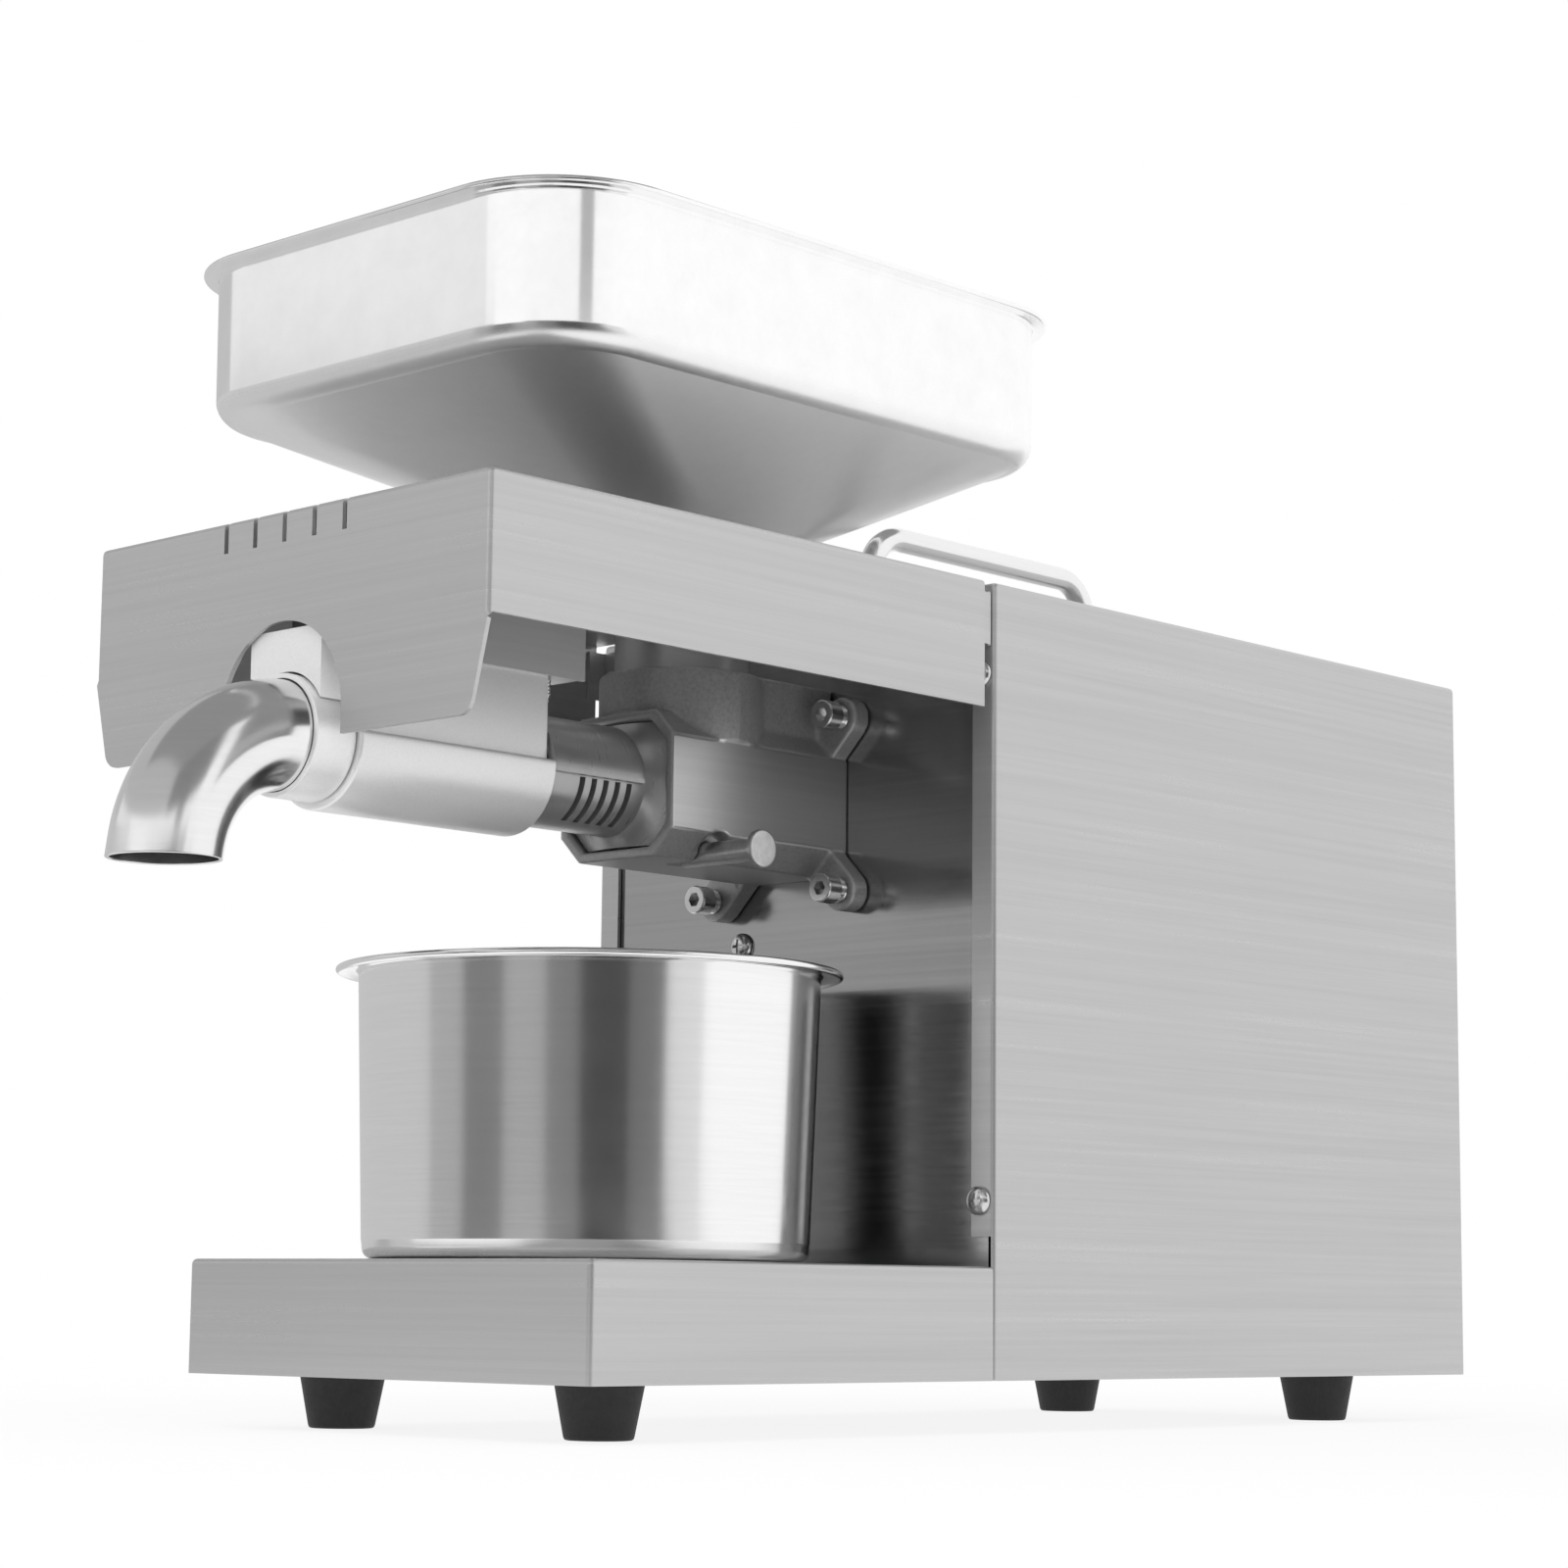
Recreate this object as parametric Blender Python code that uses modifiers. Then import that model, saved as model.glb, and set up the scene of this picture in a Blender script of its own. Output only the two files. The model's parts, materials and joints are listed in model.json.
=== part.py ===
"""Screw oil press for nuts and seeds, modelled as the pieces it is assembled from.

Metres, +Z up. The outlet elbow points to -Y, the motor case stands at +Y.
The origin is the centre of the overall footprint, on the plane the feet stand on.
"""
import math

import bmesh
import bpy
from mathutils import Vector

# Body
BODY_WIDTH = 0.1650
SHEET = 0.0012
BEND = 0.0016
GAP = 0.0003
TRAY_DEPTH = 0.1587
TRAY_HEIGHT = 0.0322
CASE_DEPTH = 0.2442
FLANGE_WIDTH = 0.0085
FLANGE_FOOT = 0.0408
PLATE_SHEET = 0.0015
PLATE_LIP = 0.0100

# Feet
FOOT_HEIGHT = 0.0150
FOOT_TOP_RADIUS = 0.0120
FOOT_BOTTOM_RADIUS = 0.0093
FOOT_SIDE_INSET = 0.0299
FOOT_FRONT_INSET = 0.0325
FOOT_REAR_INSET = 0.0429
FOOT_BORE_RADIUS = 0.0026
FOOT_POCKET_RADIUS = 0.0056
FOOT_POCKET_DEPTH = 0.0070

# Press line: barrel, jacket, nozzle and outlet
AXIS_HEIGHT = 0.1700
HEADROOM = 0.0614
CAGE_RADIUS = 0.0152
CAGE_CROWN = 0.0170
CAGE_RIB = 0.0176
CAGE_RIB_DEPTH = 0.0013
CAGE_BORE = 0.0110
BARREL_RADIUS = 0.0128
BARREL_FRONT = -0.0268
NOSE_LENGTH = 0.0052
NOSE_BORE = 0.0082
SPIGOT_RADIUS = 0.0169
SLOT_COUNT = 5
SLOT_PITCH = 0.0046
SLOT_WIDTH = 0.0017
FIRST_SLOT = 0.0580
SLOT_FLOOR = 0.0134
COLLAR_FRONT = 0.0790
COLLAR_LENGTH = 0.0205
FEED_WINDOW = (0.0200, 0.0240)
JACKET_FRONT = -0.0265
JACKET_REAR = 0.0447
JACKET_RADIUS = 0.0188
JACKET_BOX_HALF = 0.0148
JACKET_BOX_TOP = 0.0290
JACKET_LEDGE = 0.0014
JACKET_HOOD = 0.0116
JACKET_CHAMFER = 0.0012
CARTRIDGE_RADIUS = 0.0031
CARTRIDGE_X = -0.0060
SENSOR_RADIUS = 0.0020
SENSOR_X = 0.0075
HEATER_BORE_DEPTH = 0.0520
HEATER_TAIL = 0.0030
RING_RADIUS = 0.0168
RING_LENGTH = 0.0132
RING_SEAT = 0.0080
ELBOW_RADIUS = 0.0151
ELBOW_WALL = 0.0012
ELBOW_BEND_START = -0.0378
ELBOW_BEND = 0.0381
ELBOW_ANGLE = math.radians(81.5)
ELBOW_OUTLET = -0.0366

# Chamber block
CHAMBER_FRONT = 0.0857
CHAMBER_HALF_WIDTH = 0.0233
CHAMBER_HALF_HEIGHT = 0.0215
CHAMBER_CHAMFER = 0.0077
SOCKET_WALL = 0.0030
SOCKET_DEPTH = 0.0140
DRUM_PLACE = 0.1120
DRUM_RADIUS = 0.0245
DRUM_TOP = 0.0350
DRUM_SEAT_DEPTH = 0.0060
FEED_BORE = 0.0160
WEB_HALF_WIDTH = 0.0170
WEB_TOP = 0.0362
EAR_THICKNESS = 0.0066
EAR_RADIUS = 0.0062
BOLT_SPREAD = 0.0262

# Lock pin
PIN_PLACE = 0.1060
PIN_DROP = 0.0193
PIN_RADIUS = 0.0034
PIN_TIP = 0.0080
PIN_HEAD_PLACE = 0.0385
PIN_HEAD_RADIUS = 0.0056
PIN_HEAD_THICKNESS = 0.0020
PIN_POCKET_RADIUS = 0.0062

# Canopy over the press line
CANOPY_OVERHANG = 0.0398
CANOPY_REAR_GAP = 0.0043
CANOPY_INSET = 0.0001
CANOPY_SIDE = 0.0376
CANOPY_FRONT = 0.0634
CANOPY_TAPER = 0.0064
ARCH_RADIUS = 0.0255
ARCH_RISE = 0.0055
VENT_COUNT = 5
VENT_PITCH = 0.0125
VENT_WIDTH = 0.0018
VENT_LENGTH = 0.0087
BRACKET_DROP = 0.0359
BRACKET_FRONT = -0.0240
BRACKET_REAR = 0.0570
LUG_WIDTH = 0.0085
LUG_SCREW_INSET = 0.0058
LUG_SHANK_RADIUS = 0.0014
LUG_HEAD_RADIUS = 0.0029
LUG_DROP = 0.0029
LUG_HEIGHT = 0.0160
LUG_SCREW_DROP = 0.0012

# Hopper
HOPPER_HALF_WIDTH = 0.0820
HOPPER_HALF_LENGTH = 0.1083
HOPPER_CORNER = 0.0335
HOPPER_CENTRE = 0.0898
HOPPER_RISE = 0.0846
HOPPER_DEPTH = 0.0385
HOPPER_LIP = 0.0044
HOPPER_SHEET = 0.0009
HOPPER_FLOOR_BEND = 0.0070
NECK_RADIUS = 0.0200
NECK_RISE = 0.0086
CANOPY_NECK_CLEARANCE = 0.0030

# Pot
POT_PLACE = 0.0768
POT_HEIGHT = 0.0832
POT_TOP_RADIUS = 0.0665
POT_BOTTOM_RADIUS = 0.0635
POT_RIM_RADIUS = 0.0729
POT_SHEET = 0.0009
POT_ROUND = 0.0050

# Handle
HANDLE_RADIUS = 0.0038
HANDLE_FRONT = 0.1960
HANDLE_LENGTH = 0.1080
HANDLE_HEIGHT = 0.0320
HANDLE_BEND = 0.0130
HANDLE_TANG = 0.0090
NUT_HEIGHT = 0.0045

# Drive
BEARING_RADIUS = 0.0180
SHAFT_RADIUS = 0.0095
HEX_SIZE = 0.0120
HEX_LENGTH = 0.0140
FLIGHT_RADIUS = 0.0107
FLIGHT_WIDTH = 0.0032
FLIGHT_FIRST_PITCH = 0.0240
FLIGHT_LAST_PITCH = 0.0130
SCREW_ROOT_REAR = 0.0058
SCREW_ROOT_FRONT = 0.0082
PRESSURE_ANGLE = math.radians(20)
BACKLASH = 0.00030
SMALL_TEETH = 12
OUTPUT_MODULE = 0.0020
OUTPUT_TEETH = 36
IDLER_MODULE = 0.0016
IDLER_TEETH = 36
ADDENDUM = 0.80
DEDENDUM = 1.15
OUTPUT_FACE = 0.0120
IDLER_FACE = 0.0090
GEARBOX_WALL = 0.0050
GEARBOX_DEPTH = 0.0330
COVER_THICKNESS = 0.0040
IDLER_PIN_RADIUS = 0.0040
MOTOR_RADIUS = 0.0410
MOTOR_LENGTH = 0.1050
ROTOR_RADIUS = 0.0040
FAN_RADIUS = 0.0380
FAN_HUB_RADIUS = 0.0110
FAN_DEPTH = 0.0110
FAN_BLADES = 6
FAN_STANDOFF = 0.0080

# Electrical pieces on the rear panel and the floor of the case
PORT_HEIGHT = 0.0420
INLET_X = -0.0480
INLET_SIZE = (0.0270, 0.0200)
INLET_DEPTH = 0.0210
SWITCH_SIZE = (0.0190, 0.0130)
SWITCH_DEPTH = 0.0140
DRIVE_SWITCH_X = 0.0200
HEAT_SWITCH_X = 0.0500
BEZEL_RIM = 0.0020
BEZEL_THICKNESS = 0.0022
ROCKER_RISE = 0.0030
ROCKER_SEAT = 0.0025
REAR_VENTS = 9
REAR_VENT_PITCH = 0.0090
REAR_VENT_SIZE = (0.0035, 0.0300)
BOARD_SIZE = (0.0460, 0.0700)
BOARD_SIDE_GAP = 0.0060
BOARD_UNDER_MOTOR = 0.0250
BOARD_LIFT = 0.0080
BOARD_SHEET = 0.0016
CAPACITOR_RADIUS = 0.0160
CAPACITOR_LENGTH = 0.0600
CAPACITOR_TERMINAL = 0.0060
CAPACITOR_SIDE_GAP = 0.0080
CAPACITOR_FOOT_GAP = 0.0344
CRADLE_HALF_WIDTH = 0.0260
CRADLE_INSET = 0.0300
CRADLE_DROP = 0.0180

# Fasteners
PAN_HEAD_RADIUS = 0.0042
PAN_HEAD_HEIGHT = 0.0024
PAN_SHANK_RADIUS = 0.0019
PAN_SHANK_LENGTH = 0.0070
CASE_SCREW_LOW = 0.0510
CASE_SCREW_DROP = 0.0269
PANEL_SCREW_X = -0.0200
PANEL_SCREW_DROP = 0.0400
SOCKET_HEAD_RADIUS = 0.0044
SOCKET_HEAD_HEIGHT = 0.0052
BOLT_WASHER = (0.0037, 0.0030)
SOCKET_SHANK_RADIUS = 0.0025
SOCKET_KEY = 0.0040
HOLE_CLEARANCE = 0.0004

# Places that follow from the sizes above. Y is first measured back from the tray's front face.
CASE_FRONT = TRAY_DEPTH + GAP
CASE_REAR = CASE_FRONT + CASE_DEPTH
REAR_PANEL_REAR = CASE_REAR - SHEET - GAP
ELBOW_SWING = (ELBOW_BEND + ELBOW_RADIUS) * math.sin(ELBOW_ANGLE)
ELBOW_LAST = (ELBOW_BEND + ELBOW_RADIUS) * math.cos(ELBOW_ANGLE) - ELBOW_BEND - ELBOW_OUTLET
FRONT_REACH = ELBOW_BEND_START - ELBOW_SWING - ELBOW_LAST / math.tan(ELBOW_ANGLE)
ROCKER_TILT = math.radians(10)
ROCKER_REACH = SWITCH_SIZE[1] / 2 - 0.0012 - 2 * GAP
ROCKER_OUT = 0.9 * ROCKER_RISE * math.cos(ROCKER_TILT) + ROCKER_REACH * math.sin(ROCKER_TILT)
REAR_REACH = REAR_PANEL_REAR + GAP + BEZEL_THICKNESS - ROCKER_SEAT + ROCKER_OUT
Y0 = -(FRONT_REACH + REAR_REACH) / 2
BASE = FOOT_HEIGHT
DECK = BASE + TRAY_HEIGHT
AXIS = BASE + AXIS_HEIGHT
TOP = AXIS + HEADROOM
PANEL_SCREW_Z = AXIS - PANEL_SCREW_DROP
CANOPY_HALF_WIDTH = BODY_WIDTH / 2 - CANOPY_INSET
LUG_SCREW_X = CANOPY_HALF_WIDTH - LUG_SCREW_INSET
PANEL_FRONT = CASE_FRONT + SHEET + GAP
PANEL_REAR = PANEL_FRONT + PLATE_SHEET
PANEL_HALF = BODY_WIDTH / 2 - SHEET - PLATE_SHEET - 2 * GAP
FLANGE_MIDDLE = BODY_WIDTH / 2 - FLANGE_WIDTH / 2 - SHEET
CHAMBER_REAR = PANEL_FRONT - GAP
SPIGOT_REAR = CHAMBER_REAR - 0.0100
GEARBOX_FRONT = PANEL_REAR + GAP
GEARBOX_REAR = GEARBOX_FRONT + GEARBOX_WALL + GEARBOX_DEPTH
COVER_FRONT = GEARBOX_REAR + GAP
COVER_REAR = COVER_FRONT + COVER_THICKNESS
OUTPUT_GEAR_FRONT = GEARBOX_FRONT + GEARBOX_WALL + 0.0030
IDLER_GEAR_FRONT = OUTPUT_GEAR_FRONT + OUTPUT_FACE + 0.0030
OUTPUT_PITCH_RADIUS = OUTPUT_MODULE * OUTPUT_TEETH / 2
IDLER_PITCH_RADIUS = IDLER_MODULE * IDLER_TEETH / 2
IDLER_AXIS = AXIS - OUTPUT_PITCH_RADIUS - OUTPUT_MODULE * SMALL_TEETH / 2
MOTOR_AXIS = IDLER_AXIS - IDLER_PITCH_RADIUS - IDLER_MODULE * SMALL_TEETH / 2
MOTOR_FRONT = COVER_REAR + GAP
MOTOR_REAR = MOTOR_FRONT + MOTOR_LENGTH
FAN_FRONT = MOTOR_REAR + FAN_STANDOFF
CANOPY_REAR = TRAY_DEPTH - CANOPY_REAR_GAP
CANOPY_INNER_TOP = TOP - SHEET
SEAT_FLOOR = DRUM_TOP - DRUM_SEAT_DEPTH
SIDES = {"left": -1, "right": 1}


def place_y(distance):
    """World Y of a distance measured back from the tray's front face."""
    return Y0 + distance


def remove_all_objects():
    for obj in list(bpy.data.objects):
        bpy.data.objects.remove(obj, do_unlink=True)


def new_collection(name):
    collection = bpy.data.collections.new(name)
    bpy.context.scene.collection.children.link(collection)
    return collection


def make_finish(name, colour, roughness, metallic):
    finish = bpy.data.materials.new(name)
    finish.use_nodes = True
    shader = finish.node_tree.nodes["Principled BSDF"]
    shader.inputs["Base Color"].default_value = (*colour, 1.0)
    shader.inputs["Roughness"].default_value = roughness
    shader.inputs["Metallic"].default_value = metallic
    return finish


def add_object(name, mesh, finish, place=(0, 0, 0), turn=(0, 0, 0)):
    """A sub-part, or a cutter where the finish is None."""
    obj = bpy.data.objects.new(name, mesh)
    obj.location = place
    obj.rotation_euler = turn
    if finish is None:
        CUTTERS.objects.link(obj)
        obj.display_type = "WIRE"
        obj.hide_render = True
    else:
        mesh.materials.append(finish)
        PARTS.objects.link(obj)
    return obj


def to_mesh(name, bm, smooth=False):
    bmesh.ops.recalc_face_normals(bm, faces=bm.faces)
    mesh = bpy.data.meshes.new(name)
    bm.to_mesh(mesh)
    bm.free()
    if smooth:
        mesh.shade_smooth()
        mesh.set_sharp_from_angle(angle=math.radians(35))
    return mesh


def box(name, low, high, finish=None, place=(0, 0, 0), turn=(0, 0, 0)):
    bm = bmesh.new()
    bmesh.ops.create_cube(bm, size=1.0)
    size = Vector(high) - Vector(low)
    middle = (Vector(high) + Vector(low)) / 2
    bmesh.ops.scale(bm, vec=size, verts=bm.verts)
    bmesh.ops.translate(bm, vec=middle, verts=bm.verts)
    return add_object(name, to_mesh(name, bm), finish, place, turn)


def prism(name, axis, outline, low, high, finish=None, place=(0, 0, 0), smooth=False):
    """An outline in the plane across the axis, from low to high along it."""
    spots = {
        "X": lambda a, b, h: (h, a, b),
        "Y": lambda a, b, h: (a, h, b),
        "Z": lambda a, b, h: (a, b, h),
    }[axis]
    bm = bmesh.new()
    face = bm.faces.new([bm.verts.new(spots(a, b, low)) for a, b in outline])
    grown = bmesh.ops.extrude_face_region(bm, geom=[face])
    moved = [item for item in grown["geom"] if isinstance(item, bmesh.types.BMVert)]
    shift = Vector(spots(0, 0, high)) - Vector(spots(0, 0, low))
    bmesh.ops.translate(bm, vec=shift, verts=moved)
    return add_object(name, to_mesh(name, bm, smooth), finish, place)


def turned(name, axis, profile, steps, finish=None, place=(0, 0, 0), closed=False):
    """A turned shape. The profile's outer side runs from high to low along the axis."""
    turn = {"X": (0, math.radians(90), 0), "Y": (math.radians(90), 0, 0), "Z": (0, 0, 0)}[axis]
    points = [(radius, 0, height) for radius, height in profile]
    if axis == "Y":
        points = [(radius, 0, -height) for radius, height in reversed(profile)]
    edges = [(i, i + 1) for i in range(len(points) - 1)]
    if closed:
        edges.append((len(points) - 1, 0))
    mesh = bpy.data.meshes.new(name)
    mesh.from_pydata(points, edges, [])
    obj = add_object(name, mesh, finish, place, turn)
    screw = obj.modifiers.new("Turn", "SCREW")
    screw.steps = steps
    screw.render_steps = steps
    screw.use_merge_vertices = not closed
    screw.merge_threshold = 0.00001
    screw.use_smooth_shade = True
    return obj


def cylinder(name, axis, radius, low, high, steps, finish=None, place=(0, 0, 0)):
    return turned(name, axis, [(0, high), (radius, high), (radius, low), (0, low)], steps, finish, place)


def tube(name, axis, outer, inner, low, high, steps, finish=None, place=(0, 0, 0)):
    profile = [(outer, high), (outer, low), (inner, low), (inner, high)]
    return turned(name, axis, profile, steps, finish, place, closed=True)


def boolean(obj, other, operation):
    step = obj.modifiers.new(operation.title(), "BOOLEAN")
    step.operation = operation
    step.solver = "EXACT"
    step.object = other


def cut(obj, *cutters):
    for cutter in cutters:
        boolean(obj, cutter, "DIFFERENCE")


def join(obj, *others):
    for other in others:
        boolean(obj, other, "UNION")


def bevel(obj, width, segments=2, angle=40):
    step = obj.modifiers.new("Bevel", "BEVEL")
    step.width = width
    step.segments = segments
    step.limit_method = "ANGLE"
    step.angle_limit = math.radians(angle)
    step.harden_normals = False


def solidify(obj, thickness):
    """Gives an open surface its wall, inwards from its outer side."""
    step = obj.modifiers.new("Wall", "SOLIDIFY")
    step.thickness = thickness
    step.offset = -1
    step.use_even_offset = True


def arc(centre, radius, start, end, steps):
    """Points along an arc, angles in degrees."""
    angles = [math.radians(start + (end - start) * i / steps) for i in range(steps + 1)]
    return [(centre[0] + radius * math.cos(a), centre[1] + radius * math.sin(a)) for a in angles]


def octagon(half_width, half_height, chamfer, middle=0.0):
    right = [
        (half_width, middle - half_height + chamfer),
        (half_width, middle + half_height - chamfer),
        (half_width - chamfer, middle + half_height),
    ]
    left = [(-x, 2 * middle - z) for x, z in right]
    return right + [(-half_width + chamfer, middle + half_height)] + left + [
        (half_width - chamfer, middle - half_height)
    ]


def rounded_ring(half_x, half_y, corner, centre_y, height, steps=9):
    """A rounded rectangle as 3-D points, with as many points whatever its corner."""
    ring = []
    for sign_x, sign_y, start in ((1, -1, -90), (1, 1, 0), (-1, 1, 90), (-1, -1, 180)):
        middle = (sign_x * (half_x - corner), centre_y + sign_y * (half_y - corner))
        ring += [(x, y, height) for x, y in arc(middle, corner, start, start + 90, steps)]
    return ring


def loft(name, rings, finish, place=(0, 0, 0), around=False):
    """Skins rings of equal length. Around joins the last ring to the first, else both ends are capped."""
    bm = bmesh.new()
    rows = [[bm.verts.new(point) for point in ring] for ring in rings]
    count = len(rows[0])
    pairs = list(zip(rows, rows[1:] + rows[:1])) if around else list(zip(rows, rows[1:]))
    for first, second in pairs:
        for i in range(count):
            j = (i + 1) % count
            bm.faces.new((first[i], first[j], second[j], second[i]))
    if not around:
        bm.faces.new(list(reversed(rows[0])))
        bm.faces.new(rows[-1])
    return add_object(name, to_mesh(name, bm, smooth=True), finish, place)


def open_box(low, high, missing):
    """A box's outer skin without the sides named in missing, such as '-Z'."""
    bm = bmesh.new()
    bmesh.ops.create_cube(bm, size=1.0)
    size = Vector(high) - Vector(low)
    middle = (Vector(high) + Vector(low)) / 2
    bmesh.ops.scale(bm, vec=size, verts=bm.verts)
    bmesh.ops.translate(bm, vec=middle, verts=bm.verts)
    bm.normal_update()
    remove_sides(bm, missing)
    return bm


def side_normal(side):
    return Vector([(1 if side[0] == "+" else -1) * (side[1] == letter) for letter in "XYZ"])


def remove_sides(bm, sides):
    gone = [f for f in bm.faces if any(f.normal.dot(side_normal(side)) > 0.99 for side in sides)]
    bmesh.ops.delete(bm, geom=gone, context="FACES")


def skin_to_object(name, bm, finish):
    mesh = bpy.data.meshes.new(name)
    bm.to_mesh(mesh)
    bm.free()
    return add_object(name, mesh, finish)


def joint_empty(name, place):
    empty = bpy.data.objects.new(name, None)
    empty.location = place
    PARTS.objects.link(empty)
    return empty


def hang_on(empty, *pieces):
    """Parents pieces to a joint's empty and leaves them where they are."""
    for piece in pieces:
        piece.parent = empty
        piece.location = Vector(piece.location) - Vector(empty.location)


def base_tray():
    half = BODY_WIDTH / 2
    bm = open_box((-half, place_y(0), BASE), (half, place_y(TRAY_DEPTH), DECK), ("-Z", "+Y"))
    tray = skin_to_object("base_tray", bm, STEEL)
    bevel(tray, BEND)
    solidify(tray, SHEET)


def bottom_plate():
    half = BODY_WIDTH / 2 - SHEET - GAP
    low = (-half, place_y(SHEET + GAP), BASE)
    high = (half, place_y(REAR_PANEL_REAR), BASE + PLATE_LIP)
    plate = skin_to_object("bottom_plate", open_box(low, high, ("+Z", "-Y", "+Y")), ZINC)
    bevel(plate, BEND)
    solidify(plate, PLATE_SHEET)
    for name, x, y in foot_places():
        hole = FOOT_BORE_RADIUS
        cut(plate, cylinder(f"foot_hole_{name}", "Z", hole, BASE - 0.002, BASE + 0.004, 12, place=(x, y, 0)))


def foot_places():
    rows = {"front": place_y(FOOT_FRONT_INSET), "rear": place_y(CASE_REAR - FOOT_REAR_INSET)}
    return [
        (f"{row}_{side}", sign * (BODY_WIDTH / 2 - FOOT_SIDE_INSET), y)
        for row, y in rows.items()
        for side, sign in SIDES.items()
    ]


def feet():
    pocket_roof = FOOT_POCKET_DEPTH
    profile = [
        (FOOT_TOP_RADIUS, FOOT_HEIGHT - GAP),
        (FOOT_BOTTOM_RADIUS + 0.0003, 0.0008),
        (FOOT_BOTTOM_RADIUS - 0.0006, 0),
        (FOOT_POCKET_RADIUS, 0),
        (FOOT_POCKET_RADIUS, pocket_roof),
        (FOOT_BORE_RADIUS, pocket_roof),
        (FOOT_BORE_RADIUS, FOOT_HEIGHT - GAP),
    ]
    for name, x, y in foot_places():
        turned(f"foot_{name}", "Z", profile, 20, RUBBER, (x, y, 0), closed=True)
        length = FOOT_HEIGHT + PLATE_SHEET + 0.002 - pocket_roof
        pan_screw(f"foot_screw_{name}", "Z", 1, (x, y, pocket_roof - GAP), length=length)


def pan_screw(
    name, axis, inward, place, length=PAN_SHANK_LENGTH, radius=PAN_HEAD_RADIUS, shank=PAN_SHANK_RADIUS
):
    """A cross recess screw. place is the seat under its head, inward is the shank's direction."""
    height = PAN_HEAD_HEIGHT
    dome = [(0, height), (radius * 0.70, height * 0.80), (radius, 0)]
    profile = dome + [(shank, 0), (shank, -length), (0, -length)]
    if inward > 0:
        profile = [(r, -h) for r, h in reversed(profile)]
    screw = turned(name, axis, profile, 10, STEEL_BRIGHT, place)
    depth, arm, half = height * 0.6, radius * 0.5, radius * 0.11
    for index in range(2):
        reach = [half, half]
        reach[index] = arm
        ends = {
            "Y": ((-reach[0], -height - 0.001, -reach[1]), (reach[0], -height + depth, reach[1])),
            "Z": ((-reach[0], -reach[1], -height - 0.001), (reach[0], reach[1], -height + depth)),
        }[axis]
        cut(screw, box(f"{name}_recess_{index}", ends[0], ends[1], place=place))
    return screw


def motor_case():
    half = BODY_WIDTH / 2
    bm = open_box((-half, place_y(CASE_FRONT), BASE), (half, place_y(CASE_REAR), TOP), ())
    for side in ("-Y", "+Y"):
        faces = [f for f in bm.faces if f.normal.dot(side_normal(side)) > 0.99]
        bmesh.ops.inset_region(bm, faces=faces, thickness=FLANGE_WIDTH)
        bmesh.ops.delete(bm, geom=faces, context="FACES")
    floor = [f for f in bm.faces if f.calc_center_median().z < BASE + FLANGE_WIDTH * 0.6]
    bmesh.ops.delete(bm, geom=floor, context="FACES")
    case = skin_to_object("motor_case", bm, STEEL)
    bevel(case, BEND)
    solidify(case, SHEET)
    inner = half - SHEET
    depth = CASE_FRONT + SHEET + 0.001
    low = (-inner, place_y(CASE_FRONT - 0.001), BASE - 0.001)
    cut(case, box("case_foot_relief", low, (inner, place_y(depth), BASE + FLANGE_FOOT)))
    for name, x, z in case_screw_places():
        hole = (LUG_SHANK_RADIUS if name.startswith("lug") else PAN_SHANK_RADIUS) + HOLE_CLEARANCE
        front = place_y(CASE_FRONT - 0.001)
        cut(case, cylinder(f"{name}_hole", "Y", hole, front, place_y(depth), 12, place=(x, 0, z)))
    for name, y in handle_leg_places():
        hole = HANDLE_RADIUS + GAP
        cut(case, cylinder(f"{name}_hole", "Z", hole, TOP - 0.004, TOP + 0.002, 16, place=(0, y, 0)))


def case_screw_places():
    heights = {"low": BASE + CASE_SCREW_LOW, "high": TOP - CASE_SCREW_DROP, "lug": lug_screw_height()}
    return [
        (f"{row}_{side}", sign * (LUG_SCREW_X if row == "lug" else FLANGE_MIDDLE), z)
        for row, z in heights.items()
        for side, sign in SIDES.items()
    ]


def lug_screw_height():
    return TOP - LUG_DROP - LUG_HEIGHT / 2 - LUG_SCREW_DROP


def case_screws():
    for name, x, z in case_screw_places():
        if name.startswith("lug"):
            seat = place_y(CASE_FRONT - 2 * GAP - SHEET)
            label = name.replace("lug", "canopy_screw")
            pan_screw(label, "Y", 1, (x, seat, z), radius=LUG_HEAD_RADIUS, shank=LUG_SHANK_RADIUS)
        else:
            pan_screw(f"case_screw_{name}", "Y", 1, (x, place_y(CASE_FRONT - GAP), z))
    pan_screw("panel_screw", "Y", 1, (PANEL_SCREW_X, place_y(PANEL_FRONT - GAP), PANEL_SCREW_Z), length=0.0035)


def panel(name, front, rear):
    low = (-PANEL_HALF, place_y(front), BASE + PLATE_SHEET + GAP)
    high = (PANEL_HALF, place_y(rear), TOP - SHEET - GAP)
    return box(name, low, high, STEEL_PANEL)


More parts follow.
